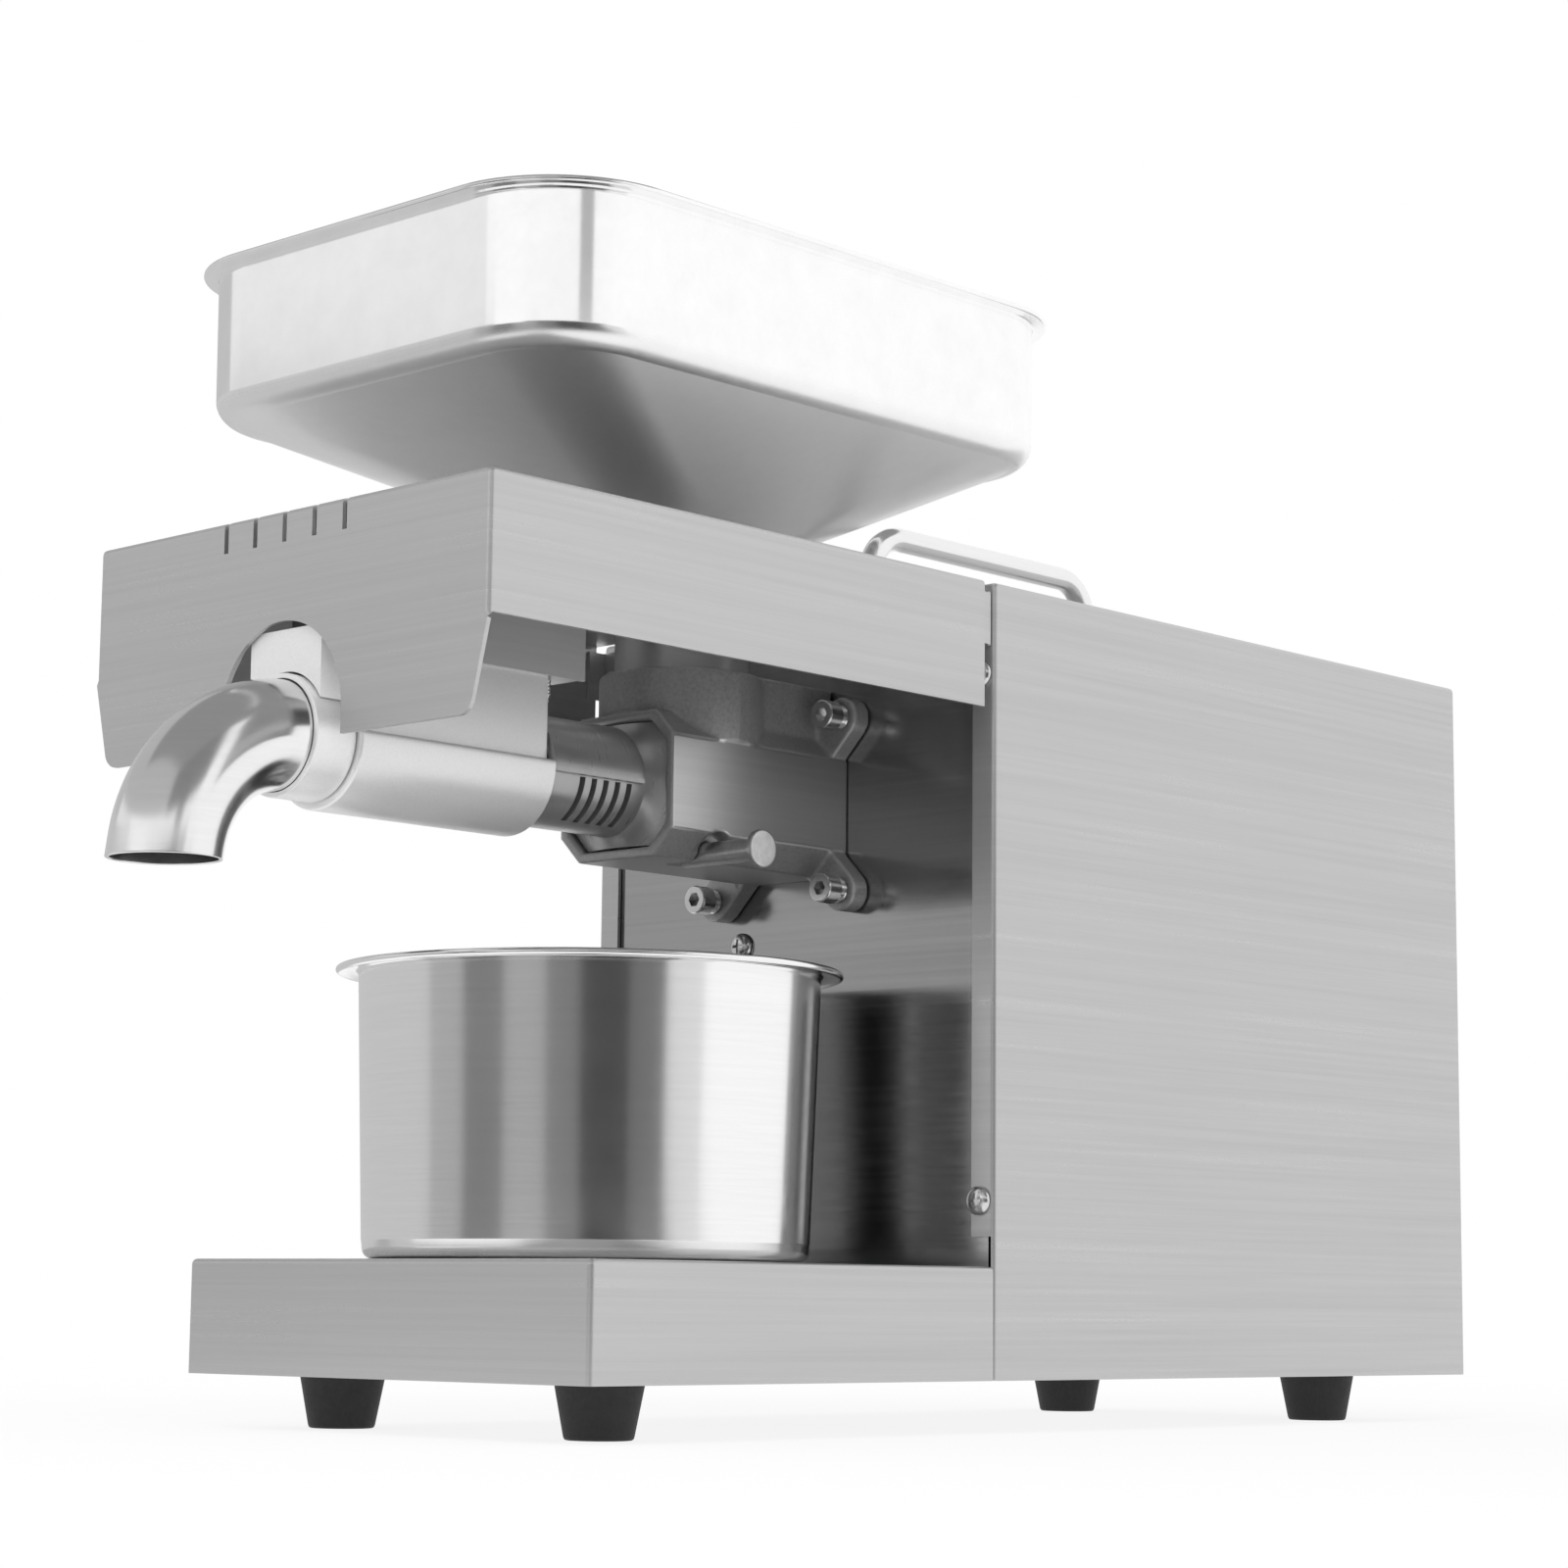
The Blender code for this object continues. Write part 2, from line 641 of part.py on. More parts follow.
def front_panel():
    plate = panel("front_panel", PANEL_FRONT, PANEL_REAR)
    front, rear = place_y(PANEL_FRONT - 0.001), place_y(PANEL_REAR + 0.001)
    cut(plate, cylinder("panel_shaft_hole", "Y", SHAFT_RADIUS + 0.0015, front, rear, 24, place=(0, 0, AXIS)))
    for name, x, z in bolt_places():
        hole = SOCKET_SHANK_RADIUS + HOLE_CLEARANCE
        cut(plate, cylinder(f"panel_bolt_hole_{name}", "Y", hole, front, rear, 12, place=(x, 0, z)))
    for name, x, z in case_screw_places():
        hole = PAN_SHANK_RADIUS + HOLE_CLEARANCE
        cut(plate, cylinder(f"panel_screw_hole_{name}", "Y", hole, front, rear, 12, place=(x, 0, z)))
    hole = PAN_SHANK_RADIUS + HOLE_CLEARANCE
    cut(plate, cylinder("panel_screw_hole", "Y", hole, front, rear, 12, place=(PANEL_SCREW_X, 0, PANEL_SCREW_Z)))


def rear_panel():
    plate = panel("rear_panel", REAR_PANEL_REAR - PLATE_SHEET, REAR_PANEL_REAR)
    front, rear = place_y(REAR_PANEL_REAR - PLATE_SHEET - 0.001), place_y(REAR_PANEL_REAR + 0.001)
    z = BASE + PORT_HEIGHT
    for name, x, size in port_places():
        half_x, half_z = size[0] / 2 + GAP, size[1] / 2 + GAP
        cut(plate, box(f"{name}_opening", (x - half_x, front, z - half_z), (x + half_x, rear, z + half_z)))
    vents = bmesh.new()
    width, height = REAR_VENT_SIZE
    for row in (0, 1):
        for index in range(REAR_VENTS):
            x = (index - (REAR_VENTS - 1) / 2) * REAR_VENT_PITCH
            middle = Vector((x, (front + rear) / 2, BASE + 0.115 + row * (height + 0.012)))
            made = bmesh.ops.create_cube(vents, size=1.0)["verts"]
            bmesh.ops.scale(vents, vec=(width, rear - front, height), verts=made)
            bmesh.ops.translate(vents, vec=middle, verts=made)
    cut(plate, add_object("rear_vents", to_mesh("rear_vents", vents), None))


def port_places():
    return [
        ("power_inlet", INLET_X, INLET_SIZE),
        ("drive_switch", DRIVE_SWITCH_X, SWITCH_SIZE),
        ("heat_switch", HEAT_SWITCH_X, SWITCH_SIZE),
    ]


def port_body(name, x, size, depth, finish):
    """A bezel outside the panel and a body through its opening, as one piece."""
    z = BASE + PORT_HEIGHT
    half_x, half_z = size[0] / 2, size[1] / 2
    face = REAR_PANEL_REAR + GAP
    rear = place_y(face + BEZEL_THICKNESS)
    body = box(name, (x - half_x, place_y(face - depth), z - half_z), (x + half_x, rear, z + half_z), finish)
    rim_low = (x - half_x - BEZEL_RIM, place_y(face), z - half_z - BEZEL_RIM)
    rim_high = (x + half_x + BEZEL_RIM, rear, z + half_z + BEZEL_RIM)
    join(body, box(f"{name}_bezel", rim_low, rim_high))
    return body, z, rear


def power_inlet():
    body, z, rear = port_body("power_inlet", INLET_X, INLET_SIZE, INLET_DEPTH, PLASTIC)
    half_x, half_z = INLET_SIZE[0] / 2 - 0.0018, INLET_SIZE[1] / 2 - 0.0018
    floor = rear - 0.0170
    corner = 0.0045
    outline = [
        (-half_x, -half_z),
        (half_x, -half_z),
        (half_x, half_z - corner),
        (half_x - corner, half_z),
        (-half_x + corner, half_z),
        (-half_x, half_z - corner),
    ]
    cut(body, prism("inlet_socket", "Y", outline, floor, rear + 0.001, place=(INLET_X, 0, z)))
    for index, (x, lift) in enumerate(((-0.007, -0.002), (0.007, -0.002), (0, 0.002))):
        low = (INLET_X + x - 0.001, floor - 0.001, z + lift - 0.002)
        join(body, box(f"inlet_pin_{index}", low, (INLET_X + x + 0.001, floor + 0.013, z + lift + 0.002)))


def switch(name, x, tilt):
    housing, z, rear = port_body(f"{name}_housing", x, SWITCH_SIZE, SWITCH_DEPTH, PLASTIC)
    half_x, half_z = SWITCH_SIZE[0] / 2 - 0.0012, SWITCH_SIZE[1] / 2 - 0.0012
    floor = rear - 0.0080
    cut(housing, box(f"{name}_well", (x - half_x, floor, z - half_z), (x + half_x, rear + 0.001, z + half_z)))
    pivot = rear - ROCKER_SEAT
    reach = ROCKER_REACH
    outline = [(-reach * 0.82, -0.0042), (reach * 0.82, -0.0042)]
    outline += [(reach, ROCKER_RISE * 0.9), (0, ROCKER_RISE * 0.35), (-reach, ROCKER_RISE * 0.9)]
    turned_outline = [(along, across) for across, along in outline]
    rocker = prism(f"{name}_rocker", "X", turned_outline, -half_x + GAP, half_x - GAP, PLASTIC_GLOSS)
    rocker.location = (x, pivot, z)
    rocker.rotation_euler = (tilt, 0, 0)


def canopy():
    top, bottom = TOP, TOP - CANOPY_SIDE
    half, front, rear = CANOPY_HALF_WIDTH, place_y(-CANOPY_OVERHANG), place_y(CANOPY_REAR)
    bm = open_box((-half, front, bottom), (half, rear, top), ("-Z", "+Y"))
    edge = next(e for e in bm.edges if all(v.co.z < bottom + 1e-6 and v.co.y < front + 1e-6 for v in e.verts))
    grown = bmesh.ops.extrude_edge_only(bm, edges=[edge])["geom"]
    corners = [item for item in grown if isinstance(item, bmesh.types.BMVert)]
    for corner in corners:
        corner.co.z = top - CANOPY_FRONT
        corner.co.x -= math.copysign(CANOPY_TAPER, corner.co.x)
    bmesh.ops.bevel(bm, geom=corners, offset=0.004, segments=3, profile=0.5, affect="VERTICES")
    bmesh.ops.recalc_face_normals(bm, faces=bm.faces)
    cover = skin_to_object("canopy", bm, STEEL)
    bevel(cover, BEND)
    solidify(cover, SHEET)
    z, below = AXIS + ARCH_RISE, top - 2 * CANOPY_FRONT
    low, high = front - 0.002, front + 0.004
    arch = arc((0, z), ARCH_RADIUS, 0, 180, 20) + [(-ARCH_RADIUS, below), (ARCH_RADIUS, below)]
    cut(cover, prism("canopy_arch", "Y", arch, low, high))
    for index in range(VENT_COUNT):
        x = (index - (VENT_COUNT - 1) / 2) * VENT_PITCH
        ends = ((x - VENT_WIDTH / 2, front - 0.002, top - VENT_LENGTH), (x + VENT_WIDTH / 2, front + 0.0087, top + 0.002))
        cut(cover, box(f"canopy_vent_{index}", *ends))
    hole = NECK_RADIUS + CANOPY_NECK_CLEARANCE
    y = place_y(DRUM_PLACE)
    cut(cover, cylinder("canopy_neck_hole", "Z", hole, top - 0.004, top + 0.002, 32, place=(0, y, 0)))
    for side, sign in SIDES.items():
        canopy_lug(cover, side, sign)


def canopy_lug(cover, side, sign):
    """A tab bent inwards from the side flange and laid flat on the case's front flange."""
    outer = CANOPY_HALF_WIDTH - SHEET + 0.0001
    inner = outer - LUG_WIDTH
    low, high = TOP - LUG_DROP - LUG_HEIGHT, TOP - LUG_DROP
    foot_rear = place_y(CASE_FRONT - GAP)
    foot_front = foot_rear - SHEET
    inset = SHEET / 4
    web_front = place_y(CANOPY_REAR - 0.004)
    spans = {
        "foot": ((inner, foot_front, low), (outer - inset, foot_rear, high)),
        "web": ((outer - SHEET, web_front, low + inset), (outer, foot_rear - inset, high - inset)),
    }
    for label, (start, end) in spans.items():
        xs = sorted((sign * start[0], sign * end[0]))
        join(cover, box(f"lug_{label}_{side}", (xs[0], *start[1:]), (xs[1], *end[1:])))
    hole = LUG_SHANK_RADIUS + HOLE_CLEARANCE
    spot = (sign * LUG_SCREW_X, 0, lug_screw_height())
    cut(cover, cylinder(f"lug_hole_{side}", "Y", hole, foot_front - 0.001, foot_rear + 0.001, 12, place=spot))


def jacket_bracket():
    half = JACKET_BOX_HALF + GAP + SHEET
    low = (-half, place_y(BRACKET_FRONT), TOP - BRACKET_DROP)
    high = (half, place_y(BRACKET_REAR), CANOPY_INNER_TOP - GAP)
    channel = skin_to_object("jacket_bracket", open_box(low, high, ("-Z", "-Y", "+Y")), STEEL_DULL)
    bevel(channel, BEND * 0.9)
    solidify(channel, SHEET)
    tab_z = TOP - BRACKET_DROP
    tab_front = place_y(JACKET_REAR + GAP)
    low = (-half + SHEET / 2, tab_front, tab_z + 0.0004)
    tab = box("bracket_tab", low, (half - SHEET / 2, place_y(BRACKET_REAR - 0.0005), tab_z + 0.0004 + SHEET))
    join(channel, tab)
    hole = PAN_SHANK_RADIUS + HOLE_CLEARANCE
    x, y = jacket_screw_place()
    cut(channel, cylinder("bracket_tab_hole", "Z", hole, tab_z - 0.002, tab_z + 0.004, 12, place=(x, y, 0)))


def jacket_screw_place():
    return 0.0060, place_y((JACKET_REAR + BRACKET_REAR) / 2)


def jacket_screw():
    """The screw through the bracket's bottom tab, head up, its end showing below."""
    x, y = jacket_screw_place()
    seat = TOP - BRACKET_DROP + 0.0004 + SHEET + GAP
    pan_screw_up("jacket_screw", (x, y, seat))


def pan_screw_up(name, place):
    height, radius, shank = PAN_HEAD_HEIGHT, PAN_HEAD_RADIUS, PAN_SHANK_RADIUS
    profile = [(0, height), (radius * 0.82, height * 0.8), (radius, 0), (shank, 0)]
    profile += [(shank, -0.0065), (shank * 0.7, -0.0072), (0, -0.0072)]
    return turned(name, "Z", profile, 12, STEEL_BRIGHT, place)


def heating_jacket():
    ledge = math.degrees(math.asin(JACKET_LEDGE / JACKET_RADIUS))
    outline = arc((0, 0), JACKET_RADIUS, -180 - ledge, ledge, 24)
    outline += [
        (JACKET_BOX_HALF, JACKET_LEDGE),
        (JACKET_BOX_HALF, JACKET_BOX_TOP),
        (-JACKET_BOX_HALF, JACKET_BOX_TOP),
        (-JACKET_BOX_HALF, JACKET_LEDGE),
    ]
    front, rear = place_y(JACKET_FRONT), place_y(JACKET_REAR)
    jacket = prism("heating_jacket", "Y", outline, front, rear, ALUMINIUM, (0, 0, AXIS), smooth=True)
    bevel(jacket, JACKET_CHAMFER, 1, 60)
    bore = BARREL_RADIUS + GAP
    hood = front - JACKET_HOOD
    low = (-JACKET_BOX_HALF, hood, AXIS + RING_RADIUS * 0.5)
    join(jacket, box("jacket_hood", low, (JACKET_BOX_HALF, front + 0.0040, AXIS + JACKET_BOX_TOP)))
    ring_room = RING_RADIUS + 2 * GAP
    cut(
        jacket,
        cylinder("jacket_bore", "Y", bore, hood - 0.002, rear + 0.002, 32, place=(0, 0, AXIS)),
        cylinder("ring_room", "Y", ring_room, hood - 0.001, front + 0.0002, 32, place=(0, 0, AXIS)),
    )
    for name, x, radius in heater_places():
        low = place_y(JACKET_REAR - HEATER_BORE_DEPTH)
        hole = cylinder(f"{name}_bore", "Y", radius + GAP, low, rear + 0.002, 12, place=(x, 0, heater_height()))
        cut(jacket, hole)
        tail = rear + HEATER_TAIL
        cylinder(name, "Y", radius, low + GAP, tail, 12, STEEL_BRIGHT, (x, 0, heater_height()))


def heater_places():
    return [("heater_cartridge", CARTRIDGE_X, CARTRIDGE_RADIUS), ("temperature_sensor", SENSOR_X, SENSOR_RADIUS)]


def heater_height():
    return AXIS + (BARREL_RADIUS + JACKET_BOX_TOP) / 2


def nozzle_ring():
    rear = BARREL_FRONT - GAP
    front = rear - RING_LENGTH
    shoulder = front + RING_SEAT
    bore, thread = ELBOW_RADIUS + GAP, BARREL_RADIUS + GAP
    profile = [
        (RING_RADIUS - 0.0005, rear),
        (RING_RADIUS, rear - 0.0005),
        (RING_RADIUS, front + 0.0004),
        (RING_RADIUS - 0.0004, front),
        (bore, front),
        (bore, shoulder),
        (thread, shoulder),
        (thread, rear),
    ]
    profile = [(radius, place_y(y)) for radius, y in profile]
    turned("nozzle_ring", "Y", profile, 28, ALUMINIUM, (0, 0, AXIS), closed=True)


def outlet_elbow():
    inlet = place_y(BARREL_FRONT - GAP - RING_LENGTH + RING_SEAT - GAP)
    start, bend, end = place_y(ELBOW_BEND_START), ELBOW_BEND, ELBOW_ANGLE
    stations = [((inlet, 0.0), 0.0)]
    stations += [
        ((start - bend * math.sin(a), -bend * (1 - math.cos(a))), a)
        for a in [end * i / 8 for i in range(9)]
    ]
    stations.append((stations[-1][0], end))

    def ring(station, radius):
        (y, z), angle = station
        spots = []
        for i in range(28):
            turn = math.tau * i / 28
            across, up = radius * math.cos(turn), radius * math.sin(turn)
            spots.append((across, y - up * math.sin(angle), z + up * math.cos(angle)))
        return spots

    def cut_level(spots):
        """Runs a ring's points on along the tube, down to the level the outlet is cut at."""
        moved = []
        for x, y, z in spots:
            run = (z - ELBOW_OUTLET) / math.sin(end)
            moved.append((x, y - run * math.cos(end), ELBOW_OUTLET))
        return moved

    outer = [ring(station, ELBOW_RADIUS) for station in stations]
    outer[-1] = cut_level(outer[-1])
    kept = stations[:1] + stations[1:-2:2] + stations[-1:]
    inner = [ring(station, ELBOW_RADIUS - ELBOW_WALL) for station in reversed(kept)]
    inner[0] = cut_level(inner[0])
    loft("outlet_elbow", outer + inner, STEEL_POLISHED, (0, 0, AXIS), around=True)


def press_cage():
    """The barrel: slotted cage, flared eight-sided collar and rear spigot with its feed window."""
    nose = BARREL_FRONT - NOSE_LENGTH
    body = [
        (SPIGOT_RADIUS, SPIGOT_REAR),
        (SPIGOT_RADIUS, COLLAR_FRONT + COLLAR_LENGTH - 0.001),
        (CAGE_RADIUS, COLLAR_FRONT + 0.002),
        (CAGE_RADIUS, JACKET_REAR + GAP),
        (BARREL_RADIUS, JACKET_REAR + GAP),
        (BARREL_RADIUS, nose),
        (NOSE_BORE, nose),
        (NOSE_BORE, BARREL_FRONT + 0.0010),
        (CAGE_BORE, BARREL_FRONT + 0.0040),
        (CAGE_BORE, SPIGOT_REAR),
    ]
    body = [(radius, place_y(y)) for radius, y in body]
    cage = turned("press_cage", "Y", body, 28, CASTING, (0, 0, AXIS), closed=True)
    flare = [(CAGE_RADIUS - 0.001 + 0.0125 * (i / 5) ** 2.2, COLLAR_FRONT + 0.0105 * i / 5) for i in range(6)]
    core = (CAGE_RADIUS + CAGE_BORE) / 2 - 0.0003
    collar = [(flare[-1][0], COLLAR_FRONT + COLLAR_LENGTH)] + list(reversed(flare))
    collar += [(core, COLLAR_FRONT + 0.0004), (core, COLLAR_FRONT + COLLAR_LENGTH)]
    collar = [(radius, place_y(y)) for radius, y in collar]
    collar = turned("cage_collar", "Y", collar, 28, place=(0, 0, AXIS), closed=True)
    inset = SOCKET_WALL + 0.0004
    outline = octagon(CHAMBER_HALF_WIDTH - inset, CHAMBER_HALF_HEIGHT - inset, CHAMBER_CHAMFER - 0.0010)
    ends = place_y(COLLAR_FRONT - 0.001), place_y(COLLAR_FRONT + COLLAR_LENGTH + 0.001)
    limit = prism("cage_collar_sides", "Y", outline, *ends, place=(0, 0, AXIS))
    boolean(collar, limit, "INTERSECT")
    join(cage, collar)
    core = (CAGE_RADIUS + CAGE_BORE) / 2
    rib, under = CAGE_RIB, -CAGE_RIB_DEPTH
    crown = arc((0, 0), CAGE_CROWN, 0, 180, 14) + [(-rib, 0), (-rib, under), (-core, under)]
    crown += arc((0, 0), core, 180, 0, 12) + [(core, under), (rib, under), (rib, 0)]
    ends = place_y(JACKET_REAR + 2 * GAP), place_y(COLLAR_FRONT + 0.0012)
    join(cage, prism("cage_crown", "Y", crown, *ends, place=(0, 0, AXIS)))
    for index in range(SLOT_COUNT):
        y = place_y(FIRST_SLOT + index * SLOT_PITCH)
        low = (-CAGE_RADIUS - 0.002, y - SLOT_WIDTH / 2, AXIS - SLOT_FLOOR)
        high = (CAGE_RADIUS + 0.002, y + SLOT_WIDTH / 2, AXIS - CAGE_RIB_DEPTH - 0.0003)
        cut(cage, box(f"oil_slot_{index}", low, high))
    half, length = FEED_WINDOW[0] / 2, FEED_WINDOW[1]
    middle = place_y(DRUM_PLACE)
    low = (-half, middle - length / 2, AXIS + 0.004)
    cut(cage, box("feed_window", low, (half, middle + length / 2, AXIS + SPIGOT_RADIUS + 0.002)))
    notch = cylinder("lock_notch", "X", PIN_RADIUS + GAP, -0.03, 0.03, 16, place=pin_place())
    cut(cage, notch)


def pin_place():
    return 0, place_y(PIN_PLACE), AXIS - PIN_DROP


def lock_pin():
    head = PIN_HEAD_PLACE
    profile = [
        (0, head + PIN_HEAD_THICKNESS),
        (PIN_HEAD_RADIUS * 0.8, head + PIN_HEAD_THICKNESS),
        (PIN_HEAD_RADIUS, head + PIN_HEAD_THICKNESS * 0.6),
        (PIN_HEAD_RADIUS, head),
        (PIN_RADIUS * 0.85, head - 0.0006),
        (PIN_RADIUS, head - 0.0080),
        (PIN_RADIUS, PIN_TIP + 0.001),
        (PIN_RADIUS - 0.001, PIN_TIP),
        (0, PIN_TIP),
    ]
    turned("lock_pin", "X", profile, 20, STEEL_DULL, pin_place())


def bolt_places():
    rows = {"low": AXIS - BOLT_SPREAD, "high": AXIS + BOLT_SPREAD}
    return [(f"{row}_{side}", sign * BOLT_SPREAD, z) for row, z in rows.items() for side, sign in SIDES.items()]


def chamber_block():
    front, rear = place_y(CHAMBER_FRONT), place_y(CHAMBER_REAR)
    axis_place = (0, 0, AXIS)
    outline = octagon(CHAMBER_HALF_WIDTH, CHAMBER_HALF_HEIGHT, CHAMBER_CHAMFER)
    block = prism("chamber_block", "Y", outline, front, rear, CASTING, axis_place)
    drum_y = place_y(DRUM_PLACE)
    drum = cylinder("feed_drum", "Z", DRUM_RADIUS, AXIS, AXIS + DRUM_TOP, 32, place=(0, drum_y, 0))
    web_rear = rear - SHEET / 4
    web = box("rear_web", (-WEB_HALF_WIDTH, drum_y, AXIS), (WEB_HALF_WIDTH, web_rear, AXIS + WEB_TOP))
    join(block, drum, web)
    for name, sign in (("a", 1), ("b", -1)):
        join(block, ear_bar(name, sign, rear))
    inner = octagon(
        CHAMBER_HALF_WIDTH - SOCKET_WALL, CHAMBER_HALF_HEIGHT - SOCKET_WALL, CHAMBER_CHAMFER - 0.0010
    )
    socket_floor = place_y(CHAMBER_FRONT + SOCKET_DEPTH)
    spigot = SPIGOT_RADIUS + GAP
    cut(
        block,
        prism("chamber_socket", "Y", inner, front - 0.002, socket_floor, place=axis_place),
        cylinder("spigot_bore", "Y", spigot, socket_floor - 0.002, place_y(SPIGOT_REAR + GAP), 28, place=axis_place),
        cylinder("shaft_bore", "Y", SHAFT_RADIUS + 0.0015, drum_y, rear + 0.002, 24, place=axis_place),
        cylinder("feed_bore", "Z", FEED_BORE, AXIS, AXIS + DRUM_TOP + 0.003, 28, place=(0, drum_y, 0)),
        neck_seat(drum_y),
        cylinder("pin_bore", "X", PIN_RADIUS + GAP, PIN_TIP - 0.0045, 0.04, 16, place=pin_place()),
        cylinder("pin_pocket", "X", PIN_POCKET_RADIUS, CHAMBER_HALF_WIDTH - 0.0055, 0.04, 20, place=pin_place()),
    )
    for name, x, z in bolt_places():
        hole = SOCKET_SHANK_RADIUS + HOLE_CLEARANCE
        front_face = rear - EAR_THICKNESS
        cut(block, cylinder(f"ear_hole_{name}", "Y", hole, front_face - 0.001, rear + 0.001, 12, place=(x, 0, z)))


def neck_seat(drum_y):
    top = AXIS + DRUM_TOP
    return cylinder("neck_seat", "Z", NECK_RADIUS + GAP, top - DRUM_SEAT_DEPTH, top + 0.003, 32, place=(0, drum_y, 0))


def ear_bar(name, sign, rear):
    """A bar with round ends through two opposite bolt holes."""
    reach = BOLT_SPREAD
    angle = 45 * sign
    near = arc((reach, sign * reach), EAR_RADIUS, angle - 90, angle + 90, 10)
    far = arc((-reach, -sign * reach), EAR_RADIUS, angle + 90, angle + 270, 10)
    return prism(f"ear_bar_{name}", "Y", near + far, rear - EAR_THICKNESS, rear, place=(0, 0, AXIS))


def chamber_bolts():
    seat = place_y(CHAMBER_REAR - EAR_THICKNESS - GAP)
    head, shank = SOCKET_HEAD_RADIUS, SOCKET_SHANK_RADIUS
    tip = place_y(GEARBOX_FRONT + GEARBOX_WALL + 0.0010)
    washer, thickness = BOLT_WASHER
    under = seat - thickness
    front = under - SOCKET_HEAD_HEIGHT
    profile = [(0, tip), (shank, tip), (shank, seat), (washer, seat), (washer, under), (head, under)]
    profile.append((head, front + 0.0004))
    profile += [(head - 0.0004, front), (0, front)]
    for name, x, z in bolt_places():
        bolt = turned(f"chamber_bolt_{name}", "Y", profile, 14, STEEL_BRIGHT, (x, 0, z))
        key = arc((0, 0), SOCKET_KEY / math.sqrt(3), 0, 300, 5)
        cut(bolt, prism(f"key_socket_{name}", "Y", key, front - 0.001, front + 0.0030, place=(x, 0, z)))


def press_screw():
    """The press screw: a tapered root with one flight whose pitch closes towards the nose."""
    rear, front = SPIGOT_REAR - 0.0010, BARREL_FRONT + 0.0050
    hex_radius = HEX_SIZE / math.sqrt(3)
    body = [
        (0, rear + 0.0020),
        (hex_radius * 0.8, rear + 0.0020),
        (hex_radius * 0.8, rear),
        (FLIGHT_RADIUS, rear),
        (FLIGHT_RADIUS, rear - 0.0040),
        (SCREW_ROOT_REAR, rear - 0.0040),
        (SCREW_ROOT_REAR, DRUM_PLACE - 0.0100),
        (SCREW_ROOT_FRONT, JACKET_FRONT + 0.0250),
        (SCREW_ROOT_FRONT + 0.0016, front + 0.0010),
        (NOSE_BORE - 0.0012, BARREL_FRONT),
        (NOSE_BORE - 0.0030, BARREL_FRONT - NOSE_LENGTH),
        (0, BARREL_FRONT - NOSE_LENGTH - 0.0010),
    ]
    body = [(radius, place_y(y)) for radius, y in body]
    screw = turned("press_screw", "Y", body, 16, STEEL_BRIGHT, (0, 0, AXIS))
    join(screw, screw_flight(rear - 0.0030, front + 0.0045))
    key = arc((0, 0), hex_radius, 0, 300, 5)
    ends = place_y(rear), place_y(rear + HEX_LENGTH)
    join(screw, prism("screw_key", "Y", key, *ends, place=(0, 0, AXIS)))


def screw_flight(rear, front, steps_per_turn=12):
    """The flight's section swept along a helix, from the rear to the front."""
    rings = []
    y, turn, step = rear, 0.0, math.tau / steps_per_turn
    inner = SCREW_ROOT_REAR - 0.0012
    while y > front:
        share = (rear - y) / (rear - front)
        pitch = FLIGHT_FIRST_PITCH + (FLIGHT_LAST_PITCH - FLIGHT_FIRST_PITCH) * share
        half = FLIGHT_WIDTH / 2
        section = ((inner, -half), (FLIGHT_RADIUS, -half * 0.6), (FLIGHT_RADIUS, half * 0.6), (inner, half))
        rings.append([
            (radius * math.cos(turn), place_y(y + along), radius * math.sin(turn)) for radius, along in section
        ])
        y -= pitch / steps_per_turn
        turn -= step
    return loft("screw_flight", rings, None, (0, 0, AXIS))


def output_shaft():
    front, rear = place_y(SPIGOT_REAR + 2 * GAP), place_y(COVER_REAR - 0.0010)
    shaft = cylinder("output_shaft", "Y", SHAFT_RADIUS, front, rear, 28, STEEL_BRIGHT, (0, 0, AXIS))
    key = arc((0, 0), (HEX_SIZE + 2 * GAP) / math.sqrt(3), 0, 300, 5)
    depth = place_y(SPIGOT_REAR - 0.0010 + HEX_LENGTH + GAP)
    cut(shaft, prism("shaft_socket", "Y", key, front - 0.001, depth, place=(0, 0, AXIS)))


def gear_outline(teeth, module, phase):
    """An involute gear's outline. Phase turns it by a share of one tooth."""
    pitch = teeth * module / 2
    base = pitch * math.cos(PRESSURE_ANGLE)
    root, tip = pitch - DEDENDUM * module, pitch + ADDENDUM * module

    def involute(radius):
        angle = math.acos(min(1.0, base / radius))
        return math.tan(angle) - angle

    half_at_pitch = math.pi / (2 * teeth) - BACKLASH / (2 * pitch)

    def half_angle(radius):
        return half_at_pitch + involute(pitch) - involute(max(radius, base))

    flank = [root, (max(base, root) + pitch) / 2, tip]
    points = []
    for tooth in range(teeth):
        middle = math.tau * (tooth + phase) / teeth + math.pi / 2
        for radius in flank:
            points.append((radius, middle - half_angle(radius)))
        for radius in reversed(flank):
            points.append((radius, middle + half_angle(radius)))
    return [(radius * math.cos(angle), radius * math.sin(angle)) for radius, angle in points]


